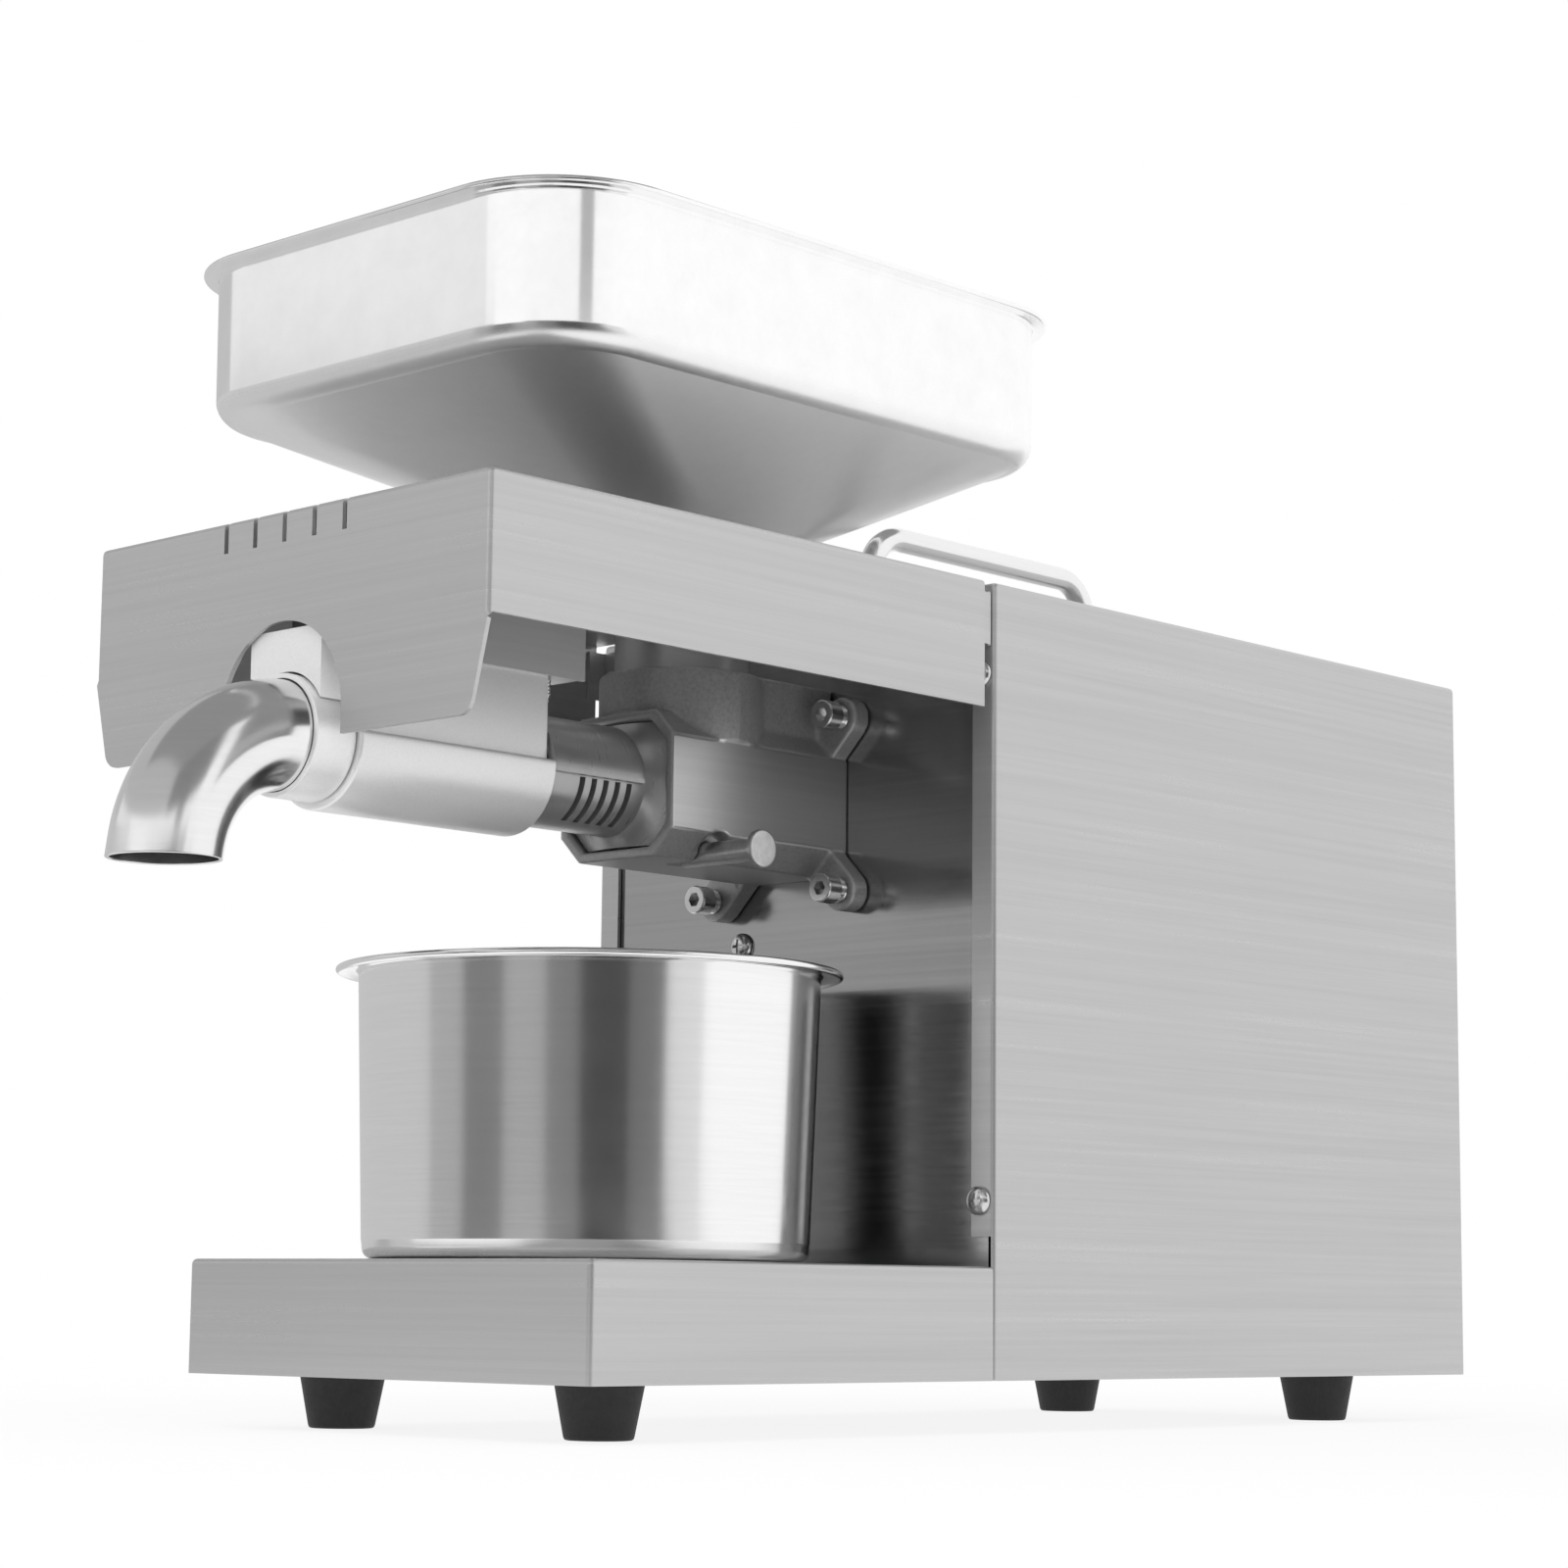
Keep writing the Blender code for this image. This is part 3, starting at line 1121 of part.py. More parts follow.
def output_gear():
    front, rear = place_y(OUTPUT_GEAR_FRONT), place_y(OUTPUT_GEAR_FRONT + OUTPUT_FACE)
    phase = 0.5 if OUTPUT_TEETH % 2 == 0 else 0.0
    outline = gear_outline(OUTPUT_TEETH, OUTPUT_MODULE, phase)
    gear = prism("output_gear", "Y", outline, front, rear, GEAR_STEEL, (0, 0, AXIS))
    web_in, web_out = SHAFT_RADIUS + 0.0060, OUTPUT_PITCH_RADIUS - 0.0065
    depth = OUTPUT_FACE * 0.3
    cut(
        gear,
        tube("gear_recess_front", "Y", web_out, web_in, front - 0.001, front + depth, 28, place=(0, 0, AXIS)),
        tube("gear_recess_rear", "Y", web_out, web_in, rear - depth, rear + 0.001, 28, place=(0, 0, AXIS)),
        cylinder("gear_bore", "Y", SHAFT_RADIUS + GAP, front - 0.002, rear + 0.002, 28, place=(0, 0, AXIS)),
    )


def idler_gear():
    small_front, small_rear = place_y(OUTPUT_GEAR_FRONT), place_y(IDLER_GEAR_FRONT + 0.0010)
    large_front, large_rear = place_y(IDLER_GEAR_FRONT), place_y(IDLER_GEAR_FRONT + IDLER_FACE)
    place = (0, 0, IDLER_AXIS)
    large_phase = 0.5 if IDLER_TEETH % 2 == 0 else 0.0
    large = gear_outline(IDLER_TEETH, IDLER_MODULE, large_phase)
    gear = prism("idler_gear", "Y", large, large_front, large_rear, GEAR_STEEL, place)
    small = gear_outline(SMALL_TEETH, OUTPUT_MODULE, 0.0)
    join(gear, prism("idler_pinion", "Y", small, small_front, small_rear, place=place))
    hole = IDLER_PIN_RADIUS + GAP
    cut(gear, cylinder("idler_bore", "Y", hole, small_front - 0.002, large_rear + 0.002, 20, place=place))


def idler_pin():
    front, rear = place_y(GEARBOX_FRONT + 0.0010), place_y(COVER_REAR - 0.0010)
    cylinder("idler_pin", "Y", IDLER_PIN_RADIUS, front, rear, 20, STEEL_BRIGHT, (0, 0, IDLER_AXIS))


def rotor_shaft():
    place = (0, 0, MOTOR_AXIS)
    front, rear = place_y(IDLER_GEAR_FRONT - 0.0020), place_y(FAN_FRONT + FAN_DEPTH + 0.0030)
    shaft = cylinder("rotor_shaft", "Y", ROTOR_RADIUS, front, rear, 20, STEEL_BRIGHT, place)
    outline = gear_outline(SMALL_TEETH, IDLER_MODULE, 0.0)
    ends = place_y(IDLER_GEAR_FRONT - 0.0010), place_y(IDLER_GEAR_FRONT + IDLER_FACE + 0.0010)
    join(shaft, prism("rotor_pinion", "Y", outline, *ends, place=place))


def output_bearing():
    front, rear = place_y(GEARBOX_FRONT + GAP), place_y(GEARBOX_FRONT + GEARBOX_WALL)
    outer, inner, race = BEARING_RADIUS, SHAFT_RADIUS + GAP, 0.0026
    groove = 0.0008
    profile = [
        (outer, rear),
        (outer, front),
        (inner, front),
        (inner, rear),
        (inner + race, rear),
        (inner + race, rear - groove),
        (outer - race, rear - groove),
        (outer - race, rear),
    ]
    turned("output_bearing", "Y", profile, 24, STEEL_BRIGHT, (0, 0, AXIS), closed=True)


def gearbox_outline(grow=0.0):
    """The housing's outline across the shafts: straight sides and round corners."""
    half = OUTPUT_PITCH_RADIUS + OUTPUT_MODULE + 0.0020 + grow
    top = AXIS + half
    bottom = MOTOR_AXIS - IDLER_MODULE * SMALL_TEETH / 2 - 0.0060 - grow
    corner = 0.0200 + grow
    outline = []
    for sign_x, z, start in ((1, top, 0), (-1, top, 90), (-1, bottom, 180), (1, bottom, 270)):
        sign_z = 1 if z == top else -1
        outline += arc((sign_x * (half - corner), z - sign_z * corner), corner, start, start + 90, 6)
    return outline


def gearbox_housing():
    front, rear = place_y(GEARBOX_FRONT), place_y(GEARBOX_REAR)
    housing = prism("gearbox_housing", "Y", gearbox_outline(0.004), front, rear, CAST_ALUMINIUM)
    inner_front = place_y(GEARBOX_FRONT + GEARBOX_WALL)
    foot_top = MOTOR_AXIS - IDLER_MODULE * SMALL_TEETH / 2 - 0.0080
    foot_half = 0.0320
    foot = box("gearbox_foot", (-foot_half, front, BASE + PLATE_SHEET + GAP), (foot_half, rear, foot_top))
    arch = box("foot_arch", (-0.022, front - 0.001, BASE), (0.022, rear + 0.001, foot_top - 0.012))
    join(housing, foot)
    cut(housing, arch, prism("gearbox_hollow", "Y", gearbox_outline(), inner_front, rear + 0.001))
    cut(
        housing,
        cylinder("bearing_seat", "Y", BEARING_RADIUS + GAP, front - 0.001, inner_front + 0.001, 32, place=(0, 0, AXIS)),
        cylinder("idler_seat", "Y", IDLER_PIN_RADIUS + GAP, front - 0.001, inner_front + 0.001, 16, place=(0, 0, IDLER_AXIS)),
    )
    for name, x, z in bolt_places():
        hole = SOCKET_SHANK_RADIUS + HOLE_CLEARANCE
        cut(housing, cylinder(f"housing_thread_{name}", "Y", hole, front - 0.001, inner_front + 0.001, 12, place=(x, 0, z)))
    spot = (PANEL_SCREW_X, 0, PANEL_SCREW_Z)
    cut(housing, cylinder("housing_screw_hole", "Y", 0.0024, front - 0.001, front + 0.003, 12, place=spot))


def gearbox_cover():
    front, rear = place_y(COVER_FRONT), place_y(COVER_REAR)
    cover = prism("gearbox_cover", "Y", gearbox_outline(0.004), front, rear, CAST_ALUMINIUM)
    low, high = front - 0.001, rear + 0.001
    cut(
        cover,
        cylinder("cover_shaft_hole", "Y", SHAFT_RADIUS + 0.0004, low, high, 28, place=(0, 0, AXIS)),
        cylinder("cover_idler_hole", "Y", IDLER_PIN_RADIUS + GAP, low, high, 16, place=(0, 0, IDLER_AXIS)),
        cylinder("cover_rotor_hole", "Y", ROTOR_RADIUS + 0.0010, low, high, 16, place=(0, 0, MOTOR_AXIS)),
    )


def motor_can():
    front, rear = place_y(MOTOR_FRONT), place_y(MOTOR_REAR)
    radius, bell = MOTOR_RADIUS, 0.0060
    profile = [
        (ROTOR_RADIUS + 0.0100, rear),
        (radius - bell, rear - 0.0030),
        (radius, rear - 0.0090),
        (radius, front + 0.0040),
        (radius - 0.0040, front),
        (ROTOR_RADIUS + 0.0010, front),
        (ROTOR_RADIUS + 0.0010, rear),
    ]
    turned("motor_can", "Y", profile, 28, MOTOR_PAINT, (0, 0, MOTOR_AXIS), closed=True)


def motor_cradle():
    low, high = place_y(MOTOR_FRONT + CRADLE_INSET), place_y(MOTOR_REAR - CRADLE_INSET)
    half, top = CRADLE_HALF_WIDTH, MOTOR_AXIS - CRADLE_DROP
    cradle = box("motor_cradle", (-half, low, BASE + PLATE_SHEET + GAP), (half, high, top), ZINC)
    place = (0, 0, MOTOR_AXIS)
    cut(cradle, cylinder("cradle_saddle", "Y", MOTOR_RADIUS + GAP, low - 0.001, high + 0.001, 32, place=place))


def cooling_fan():
    front = place_y(FAN_FRONT)
    rear = front + FAN_DEPTH
    place = (0, 0, MOTOR_AXIS)
    fan = cylinder("cooling_fan", "Y", FAN_HUB_RADIUS, front, rear, 20, PLASTIC, place)
    blades = bmesh.new()
    for index in range(FAN_BLADES):
        made = bmesh.ops.create_cube(blades, size=1.0)["verts"]
        span = FAN_RADIUS - FAN_HUB_RADIUS * 0.7
        bmesh.ops.scale(blades, vec=(0.0150, 0.0014, span), verts=made)
        bmesh.ops.translate(blades, vec=(0, 0, FAN_HUB_RADIUS * 0.7 + span / 2), verts=made)
        lean = math.radians(32)
        for vert in made:
            x, y = vert.co.x, vert.co.y
            vert.co.x = x * math.cos(lean) - y * math.sin(lean)
            vert.co.y = x * math.sin(lean) + y * math.cos(lean)
        turn = math.tau * index / FAN_BLADES
        for vert in made:
            x, z = vert.co.x, vert.co.z
            vert.co.x = x * math.cos(turn) + z * math.sin(turn)
            vert.co.z = z * math.cos(turn) - x * math.sin(turn)
    middle = (0, (front + rear) / 2, MOTOR_AXIS)
    join(fan, add_object("fan_blades", to_mesh("fan_blades", blades), None, middle))
    cut(fan, cylinder("fan_bore", "Y", ROTOR_RADIUS + GAP, front - 0.001, rear + 0.001, 16, place=place))


def run_capacitor():
    x = BODY_WIDTH / 2 - SHEET - CAPACITOR_SIDE_GAP - CAPACITOR_RADIUS
    z = BASE + PLATE_SHEET + GAP + CAPACITOR_RADIUS
    terminal = place_y(CASE_REAR - FOOT_REAR_INSET - CAPACITOR_FOOT_GAP)
    rear = terminal - CAPACITOR_TERMINAL
    front = rear - CAPACITOR_LENGTH
    profile = [
        (0, terminal),
        (0.0030, terminal),
        (0.0030, rear),
        (CAPACITOR_RADIUS - 0.0010, rear),
        (CAPACITOR_RADIUS, rear - 0.0010),
        (CAPACITOR_RADIUS, front + 0.0010),
        (CAPACITOR_RADIUS - 0.0010, front),
        (0, front),
    ]
    turned("run_capacitor", "Y", profile, 20, PLASTIC, (x, 0, z))


def control_board():
    floor = BASE + PLATE_SHEET + GAP
    level = floor + BOARD_LIFT
    x0 = -BODY_WIDTH / 2 + SHEET + BOARD_SIDE_GAP
    y0 = place_y(MOTOR_REAR - BOARD_UNDER_MOTOR)
    width, length = BOARD_SIZE
    board = box("control_board", (x0, y0, level), (x0 + width, y0 + length, level + BOARD_SHEET), BOARD_GREEN)
    for i, along in enumerate((0.004, length - 0.004)):
        for j, across in enumerate((0.004, width - 0.004)):
            spot = (x0 + across, y0 + along, 0)
            join(board, cylinder(f"board_post_{i}{j}", "Z", 0.0026, floor, level + 0.0004, 10, place=spot))
    blocks = {
        "relay": (0.008, 0.010, 0.018, 0.016, 0.0150),
        "supply": (0.008, 0.034, 0.022, 0.020, 0.0190),
        "terminals": (0.034, 0.012, 0.008, 0.040, 0.0100),
    }
    for label, (x, y, wide, deep, tall) in blocks.items():
        low = (x0 + x, y0 + y, level + 0.0012)
        join(board, box(f"board_{label}", low, (x0 + x + wide, y0 + y + deep, level + tall)))


def hopper():
    """The stamped pan, its funnel and its neck, as one sheet of even thickness."""
    centre, throat = place_y(HOPPER_CENTRE) - place_y(DRUM_PLACE), 0.0
    half_x, half_y, corner, sheet = HOPPER_HALF_WIDTH, HOPPER_HALF_LENGTH, HOPPER_CORNER, HOPPER_SHEET
    rim, foot, lip, bend = TOP + HOPPER_RISE, TOP + HOPPER_RISE - HOPPER_DEPTH, HOPPER_LIP, HOPPER_FLOOR_BEND
    neck_top, neck_foot = TOP + NECK_RISE, AXIS + SEAT_FLOOR + GAP

    def pan(grow, height):
        return rounded_ring(half_x + grow, half_y + grow, corner + grow, centre, height)

    def neck(radius, height):
        return rounded_ring(radius, radius, radius, throat, height)

    floor = foot - bend * 0.85
    outer = [
        pan(lip - 0.0006, rim),
        pan(lip, rim - 0.0006),
        pan(lip, rim - 0.0016),
        pan(lip - 0.0008, rim - 0.0016),
        pan(0.0006, rim - 0.0016),
        pan(0, rim - 0.0024),
        pan(-0.0003, foot),
        pan(-bend * 0.30, foot - bend * 0.50),
        pan(-bend, floor),
        neck(NECK_RADIUS, neck_top),
        neck(NECK_RADIUS, neck_foot),
    ]
    inner = [
        neck(NECK_RADIUS - sheet, neck_foot),
        neck(NECK_RADIUS - sheet, neck_top + sheet * 0.7),
        pan(-bend - sheet * 0.4, floor + sheet * 1.1),
        pan(-bend * 0.30 - sheet * 0.9, foot - bend * 0.50 + sheet * 0.6),
        pan(-0.0003 - sheet, foot),
        pan(-sheet, rim - 0.0024),
        pan(0.0006 - sheet, rim),
    ]
    loft("hopper", outer + inner, STEEL_POLISHED, (0, place_y(DRUM_PLACE), 0), around=True)


def oil_pot():
    top, sheet, low = DECK + POT_HEIGHT, POT_SHEET, DECK + GAP
    rim, wall, foot, bend = POT_RIM_RADIUS, POT_TOP_RADIUS, POT_BOTTOM_RADIUS, POT_ROUND
    curl = 0.0022
    outer = [
        (rim - 0.0006, top),
        (rim, top - 0.0006),
        (rim, top - curl),
        (rim - 0.0012, top - curl),
        (rim - 0.0016, top - sheet - 0.0003),
        (wall, top - sheet - 0.0014),
    ]
    bottom = [(foot - bend + bend * math.cos(a), low + bend - bend * math.sin(a)) for a in quarter(3)]
    thin = bend - sheet
    inside = [(foot - bend + thin * math.cos(a), low + bend - thin * math.sin(a)) for a in reversed(quarter(2))]
    profile = outer + bottom + [(0, low)]
    profile += [(0, low + sheet)] + inside + [(wall - sheet, top - sheet), (wall - sheet + 0.0008, top)]
    pot_place = (0, place_y(POT_PLACE), 0)
    turned("oil_pot", "Z", profile, 44, STEEL_POLISHED, pot_place, closed=True)


def quarter(steps):
    return [math.radians(90 * i / steps) for i in range(steps + 1)]


def handle_leg_places():
    return [("handle_front", place_y(HANDLE_FRONT)), ("handle_rear", place_y(HANDLE_FRONT + HANDLE_LENGTH))]


def carry_handle():
    """A rod bent to a bail. Its ends go through the case top and are held by nuts inside."""
    front, rear = (y for _, y in handle_leg_places())
    top, bend, foot = TOP + HANDLE_HEIGHT, HANDLE_BEND, TOP - HANDLE_TANG
    path = [(front, foot)]
    path += arc((front + bend, top - bend), bend, 180, 90, 6)
    path += arc((rear - bend, top - bend), bend, 90, 0, 6)
    path.append((rear, foot))
    curve = bpy.data.curves.new("carry_handle", "CURVE")
    curve.dimensions = "3D"
    curve.bevel_depth = HANDLE_RADIUS
    curve.bevel_resolution = 3
    curve.use_fill_caps = True
    spline = curve.splines.new("POLY")
    spline.points.add(len(path) - 1)
    for point, (y, z) in zip(spline.points, path):
        point.co = (0, y, z, 1)
    handle = bpy.data.objects.new("carry_handle", curve)
    PARTS.objects.link(handle)
    curve.materials.append(STEEL_POLISHED)
    for name, y in handle_leg_places():
        high = TOP - SHEET - GAP
        low = high - NUT_HEIGHT
        nut = prism(f"{name}_nut", "Z", arc((0, 0), 0.0075, 0, 300, 5), low, high, STEEL_BRIGHT, (0, y, 0))
        hole = HANDLE_RADIUS + GAP
        cut(nut, cylinder(f"{name}_nut_thread", "Z", hole, low - 0.001, high + 0.001, 16, place=(0, y, 0)))


def joints():
    """An empty on each joint's axis carries the pieces that move with it."""
    groups = {
        "hopper_lift": ((0, place_y(DRUM_PLACE), AXIS + DRUM_TOP), ("hopper",)),
        "elbow_pull": ((0, place_y(ELBOW_BEND_START), AXIS), ("outlet_elbow",)),
        "lock_pin_pull": (pin_place(), ("lock_pin",)),
        "pot_slide": ((0, place_y(POT_PLACE), DECK), ("oil_pot",)),
        "screw_spin": ((0, place_y(CASE_FRONT), AXIS), ("press_screw", "output_shaft", "output_gear")),
        "idler_spin": ((0, place_y(CASE_FRONT), IDLER_AXIS), ("idler_gear",)),
        "rotor_spin": ((0, place_y(CASE_FRONT), MOTOR_AXIS), ("rotor_shaft", "cooling_fan")),
    }
    for name, (place, pieces) in groups.items():
        hang_on(joint_empty(name, place), *(bpy.data.objects[piece] for piece in pieces))


remove_all_objects()
PARTS = new_collection("screw_oil_press")
CUTTERS = new_collection("cutters")
STEEL = make_finish("brushed_steel", (0.62, 0.62, 0.61), 0.34, 1.0)
STEEL_PANEL = make_finish("panel_steel", (0.52, 0.52, 0.51), 0.30, 1.0)
STEEL_DULL = make_finish("dull_steel", (0.50, 0.50, 0.50), 0.42, 1.0)
STEEL_BRIGHT = make_finish("bright_steel", (0.68, 0.68, 0.67), 0.25, 1.0)
STEEL_POLISHED = make_finish("polished_steel", (0.74, 0.74, 0.73), 0.10, 1.0)
ALUMINIUM = make_finish("satin_aluminium", (0.72, 0.72, 0.71), 0.38, 1.0)
CAST_ALUMINIUM = make_finish("cast_aluminium", (0.55, 0.55, 0.55), 0.55, 1.0)
CASTING = make_finish("grey_casting", (0.24, 0.24, 0.24), 0.45, 0.9)
GEAR_STEEL = make_finish("gear_steel", (0.40, 0.40, 0.40), 0.35, 1.0)
ZINC = make_finish("zinc_plate", (0.50, 0.51, 0.52), 0.45, 1.0)
MOTOR_PAINT = make_finish("motor_paint", (0.06, 0.06, 0.07), 0.45, 0.2)
RUBBER = make_finish("black_rubber", (0.03, 0.03, 0.03), 0.80, 0.0)
PLASTIC = make_finish("black_plastic", (0.03, 0.03, 0.03), 0.50, 0.0)
PLASTIC_GLOSS = make_finish("rocker_plastic", (0.02, 0.02, 0.02), 0.25, 0.0)
BOARD_GREEN = make_finish("board_green", (0.03, 0.16, 0.07), 0.50, 0.0)

base_tray()
bottom_plate()
feet()
motor_case()
case_screws()
front_panel()
rear_panel()
power_inlet()
switch("drive_switch", DRIVE_SWITCH_X, 0.0)
switch("heat_switch", HEAT_SWITCH_X, -ROCKER_TILT)
canopy()
jacket_bracket()
jacket_screw()
heating_jacket()
nozzle_ring()
outlet_elbow()
press_cage()
lock_pin()
chamber_block()
chamber_bolts()
press_screw()
output_shaft()
output_gear()
idler_gear()
idler_pin()
rotor_shaft()
output_bearing()
gearbox_housing()
gearbox_cover()
motor_can()
motor_cradle()
cooling_fan()
run_capacitor()
control_board()
hopper()
oil_pot()
carry_handle()
joints()
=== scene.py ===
"""Dresses the screw oil press: its visible pieces, their finishes, the studio and the camera.

Metres, +Z up. The outlet elbow points to -Y and the motor case stands at +Y. Distances named
"back" are measured from the tray's front face towards the rear.
"""
import json
import math

import bmesh
import bpy
from bpy.props import FloatProperty, FloatVectorProperty, IntProperty, PointerProperty
from mathutils import Matrix, Quaternion, Vector


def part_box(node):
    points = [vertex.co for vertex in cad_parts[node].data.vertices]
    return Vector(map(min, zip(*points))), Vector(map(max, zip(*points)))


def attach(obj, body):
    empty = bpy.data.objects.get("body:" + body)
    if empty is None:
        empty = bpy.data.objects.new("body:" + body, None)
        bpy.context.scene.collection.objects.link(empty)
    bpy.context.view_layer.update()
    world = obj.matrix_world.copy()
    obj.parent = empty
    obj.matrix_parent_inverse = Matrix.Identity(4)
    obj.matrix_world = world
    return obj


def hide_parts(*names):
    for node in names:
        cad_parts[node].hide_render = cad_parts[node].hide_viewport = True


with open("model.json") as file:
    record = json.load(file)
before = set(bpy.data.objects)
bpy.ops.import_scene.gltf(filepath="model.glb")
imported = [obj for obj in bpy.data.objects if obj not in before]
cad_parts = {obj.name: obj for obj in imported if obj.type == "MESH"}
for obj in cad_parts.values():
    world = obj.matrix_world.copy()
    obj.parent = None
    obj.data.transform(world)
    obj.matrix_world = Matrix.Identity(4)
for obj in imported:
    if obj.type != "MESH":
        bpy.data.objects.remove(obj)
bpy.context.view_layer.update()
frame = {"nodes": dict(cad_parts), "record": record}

bl_info = {
    "name": "Screw Oil Press",
    "version": (1, 0, 0),
    "blender": (4, 5, 0),
    "location": "3D View > Sidebar > Oil Press",
    "description": "Builds the visible pieces and finishes of a kitchen screw oil press",
    "category": "Add Mesh",
}

def back(distance):
    """Y of a distance measured back from the tray's front face."""
    return FRONT + distance


BODY = "press_body"
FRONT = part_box("base_tray")[0].y
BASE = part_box("base_tray")[0].z
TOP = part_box("motor_case")[1].z
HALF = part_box("motor_case")[1].x
CASE_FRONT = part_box("motor_case")[0].y
AXIS = BASE + 0.1700
DRUM = back(0.1120)
# Left free between pieces that sit against each other.
GAP = 0.0003
RING_FRONT = back(-0.0268) - GAP - 0.0132
RING_SHOULDER = RING_FRONT + 0.0080
JACKET_REAR = back(0.0447)
HOOD_HALF = 0.0824
HOPPER_FOOT = BASE + 0.2775
HANDLE_ROD = 0.0038
SCREW_HEAD = 0.0024
CHAMBER_FLAT = 0.0233
CHAMBER_FLAT_HEIGHT = 0.0138
FLOOR_LEVEL = 0.0


def measure(name, description, value, **limits):
    return FloatProperty(name=name, description=description, default=value, unit="LENGTH", **limits)


class PressSizes(bpy.types.PropertyGroup):
    sheet: measure("Sheet", "Thickness of the folded steel", 0.0012, min=0.0005)
    bend: measure("Bend", "Outer radius of a folded edge", 0.0016, min=0.0005)
    bend_steps: IntProperty(name="Bend steps", description="Faces across a folded edge", default=5, min=1)
    round_steps: IntProperty(name="Round steps", description="Faces round a turned piece", default=96, min=12)
    arch_radius: measure("Arch", "Radius of the hood's opening over the nozzle", 0.0255)
    vent_count: IntProperty(name="Vents", description="Slots along the hood's front edge", default=5, min=1)
    vent_pitch: measure("Vent pitch", "Distance between two slots", 0.0125)
    hopper_corner: measure("Hopper corner", "Corner radius of the hopper's pan", 0.0335)
    casting_grain: measure("Casting grain", "Mesh size of the cast block", 0.0006)


def colour(name, description, value):
    return FloatVectorProperty(
        name=name, description=description, subtype="COLOR", size=3, min=0.0, max=1.0, default=(value,) * 3
    )


class PressColours(bpy.types.PropertyGroup):
    sheet_steel: colour("Sheet steel", "Brushed sheet of the body", 0.55)
    panel_steel: colour("Panel steel", "Brushed panel under the hood", 0.46)
    dull_steel: colour("Plain steel", "Bracket, pin and plain fittings", 0.60)
    bright_steel: colour("Bright steel", "Screws and bolts", 0.72)
    polished_steel: colour("Polished steel", "Pot, elbow and handle", 0.88)
    hopper_steel: colour("Hopper steel", "The stamped hopper", 0.98)
    aluminium: colour("Aluminium", "Heating jacket and nozzle ring", 0.92)
    casting: colour("Casting", "Chamber block", 0.36)
    machined: colour("Machined casting", "Machined flats of the block", 0.58)
    rubber: colour("Rubber", "Feet", 0.012)
    plastic: colour("Plastic", "Inlet and switches", 0.016)


class StageSettings(bpy.types.PropertyGroup):
    lens: FloatProperty(name="Lens", description="Focal length of the camera", default=83.3, unit="CAMERA")
    room: FloatProperty(name="Room light", description="Strength of the room's light", default=0.85, min=0.0)
    key: FloatProperty(
        name="Key light", description="Power of the large soft lamp", default=16.0, unit="POWER"
    )
    fill: FloatProperty(name="Fill light", description="Power of the side lamp", default=6.0, unit="POWER")


def sizes():
    return bpy.context.scene.press_sizes


def colours():
    return bpy.context.scene.press_colours


# Shader nodes


def add_node(tree, kind, **settings):
    made = tree.nodes.new(kind)
    for key, value in settings.items():
        setattr(made, key, value)
    return made


def feed(tree, target, source):
    """Links a socket, or sets a plain value on it."""
    if isinstance(source, bpy.types.NodeSocket):
        tree.links.new(source, target)
    else:
        target.default_value = source


def maths(tree, operation, first, second=0.5, clamp=False):
    made = add_node(tree, "ShaderNodeMath", operation=operation, use_clamp=clamp)
    feed(tree, made.inputs[0], first)
    feed(tree, made.inputs[1], second)
    return made.outputs[0]


def spread(tree, value, low, high, start=0.0, end=1.0):
    """A value's range stretched from low and high to start and end."""
    made = add_node(tree, "ShaderNodeMapRange")
    for socket, source in zip(made.inputs, (value, low, high, start, end)):
        feed(tree, socket, source)
    return made.outputs[0]


def noise(tree, vector, scale, detail=3.0, roughness=0.55):
    made = add_node(tree, "ShaderNodeTexNoise")
    feed(tree, made.inputs["Vector"], vector)
    feed(tree, made.inputs["Scale"], scale)
    made.inputs["Detail"].default_value = detail
    made.inputs["Roughness"].default_value = roughness
    return made.outputs["Fac"]


def stretched(tree, scale=(1, 1, 1)):
    """Object coordinates, scaled so that a pattern runs long in one direction."""
    where = add_node(tree, "ShaderNodeTexCoord").outputs["Object"]
    mapping = add_node(tree, "ShaderNodeMapping")
    mapping.inputs["Scale"].default_value = scale
    tree.links.new(where, mapping.inputs["Vector"])
    return mapping.outputs["Vector"]


def part_of(tree, vector, axis):
    """One coordinate of a vector."""
    split = add_node(tree, "ShaderNodeSeparateXYZ")
    feed(tree, split.inputs[0], vector)
    return split.outputs[axis]


def weighed(tree, first, share, second):
    """Two values added up, the first by its share and the second by the rest."""
    rest = maths(tree, "MULTIPLY", second, 1 - share)
    return maths(tree, "ADD", maths(tree, "MULTIPLY", first, share), rest)


def shader_group(name, inputs, outputs, fill):
    """A node group with named inputs and outputs, built once."""
    group = bpy.data.node_groups.get(name)
    if group:
        return group
    group = bpy.data.node_groups.new(name, "ShaderNodeTree")
    for label, kind in inputs:
        group.interface.new_socket(label, in_out="INPUT", socket_type=kind)
    for label, kind in outputs:
        group.interface.new_socket(label, in_out="OUTPUT", socket_type=kind)
    start, end = group.nodes.new("NodeGroupInput"), group.nodes.new("NodeGroupOutput")
    fill(group, start.outputs, end.inputs)
    return group


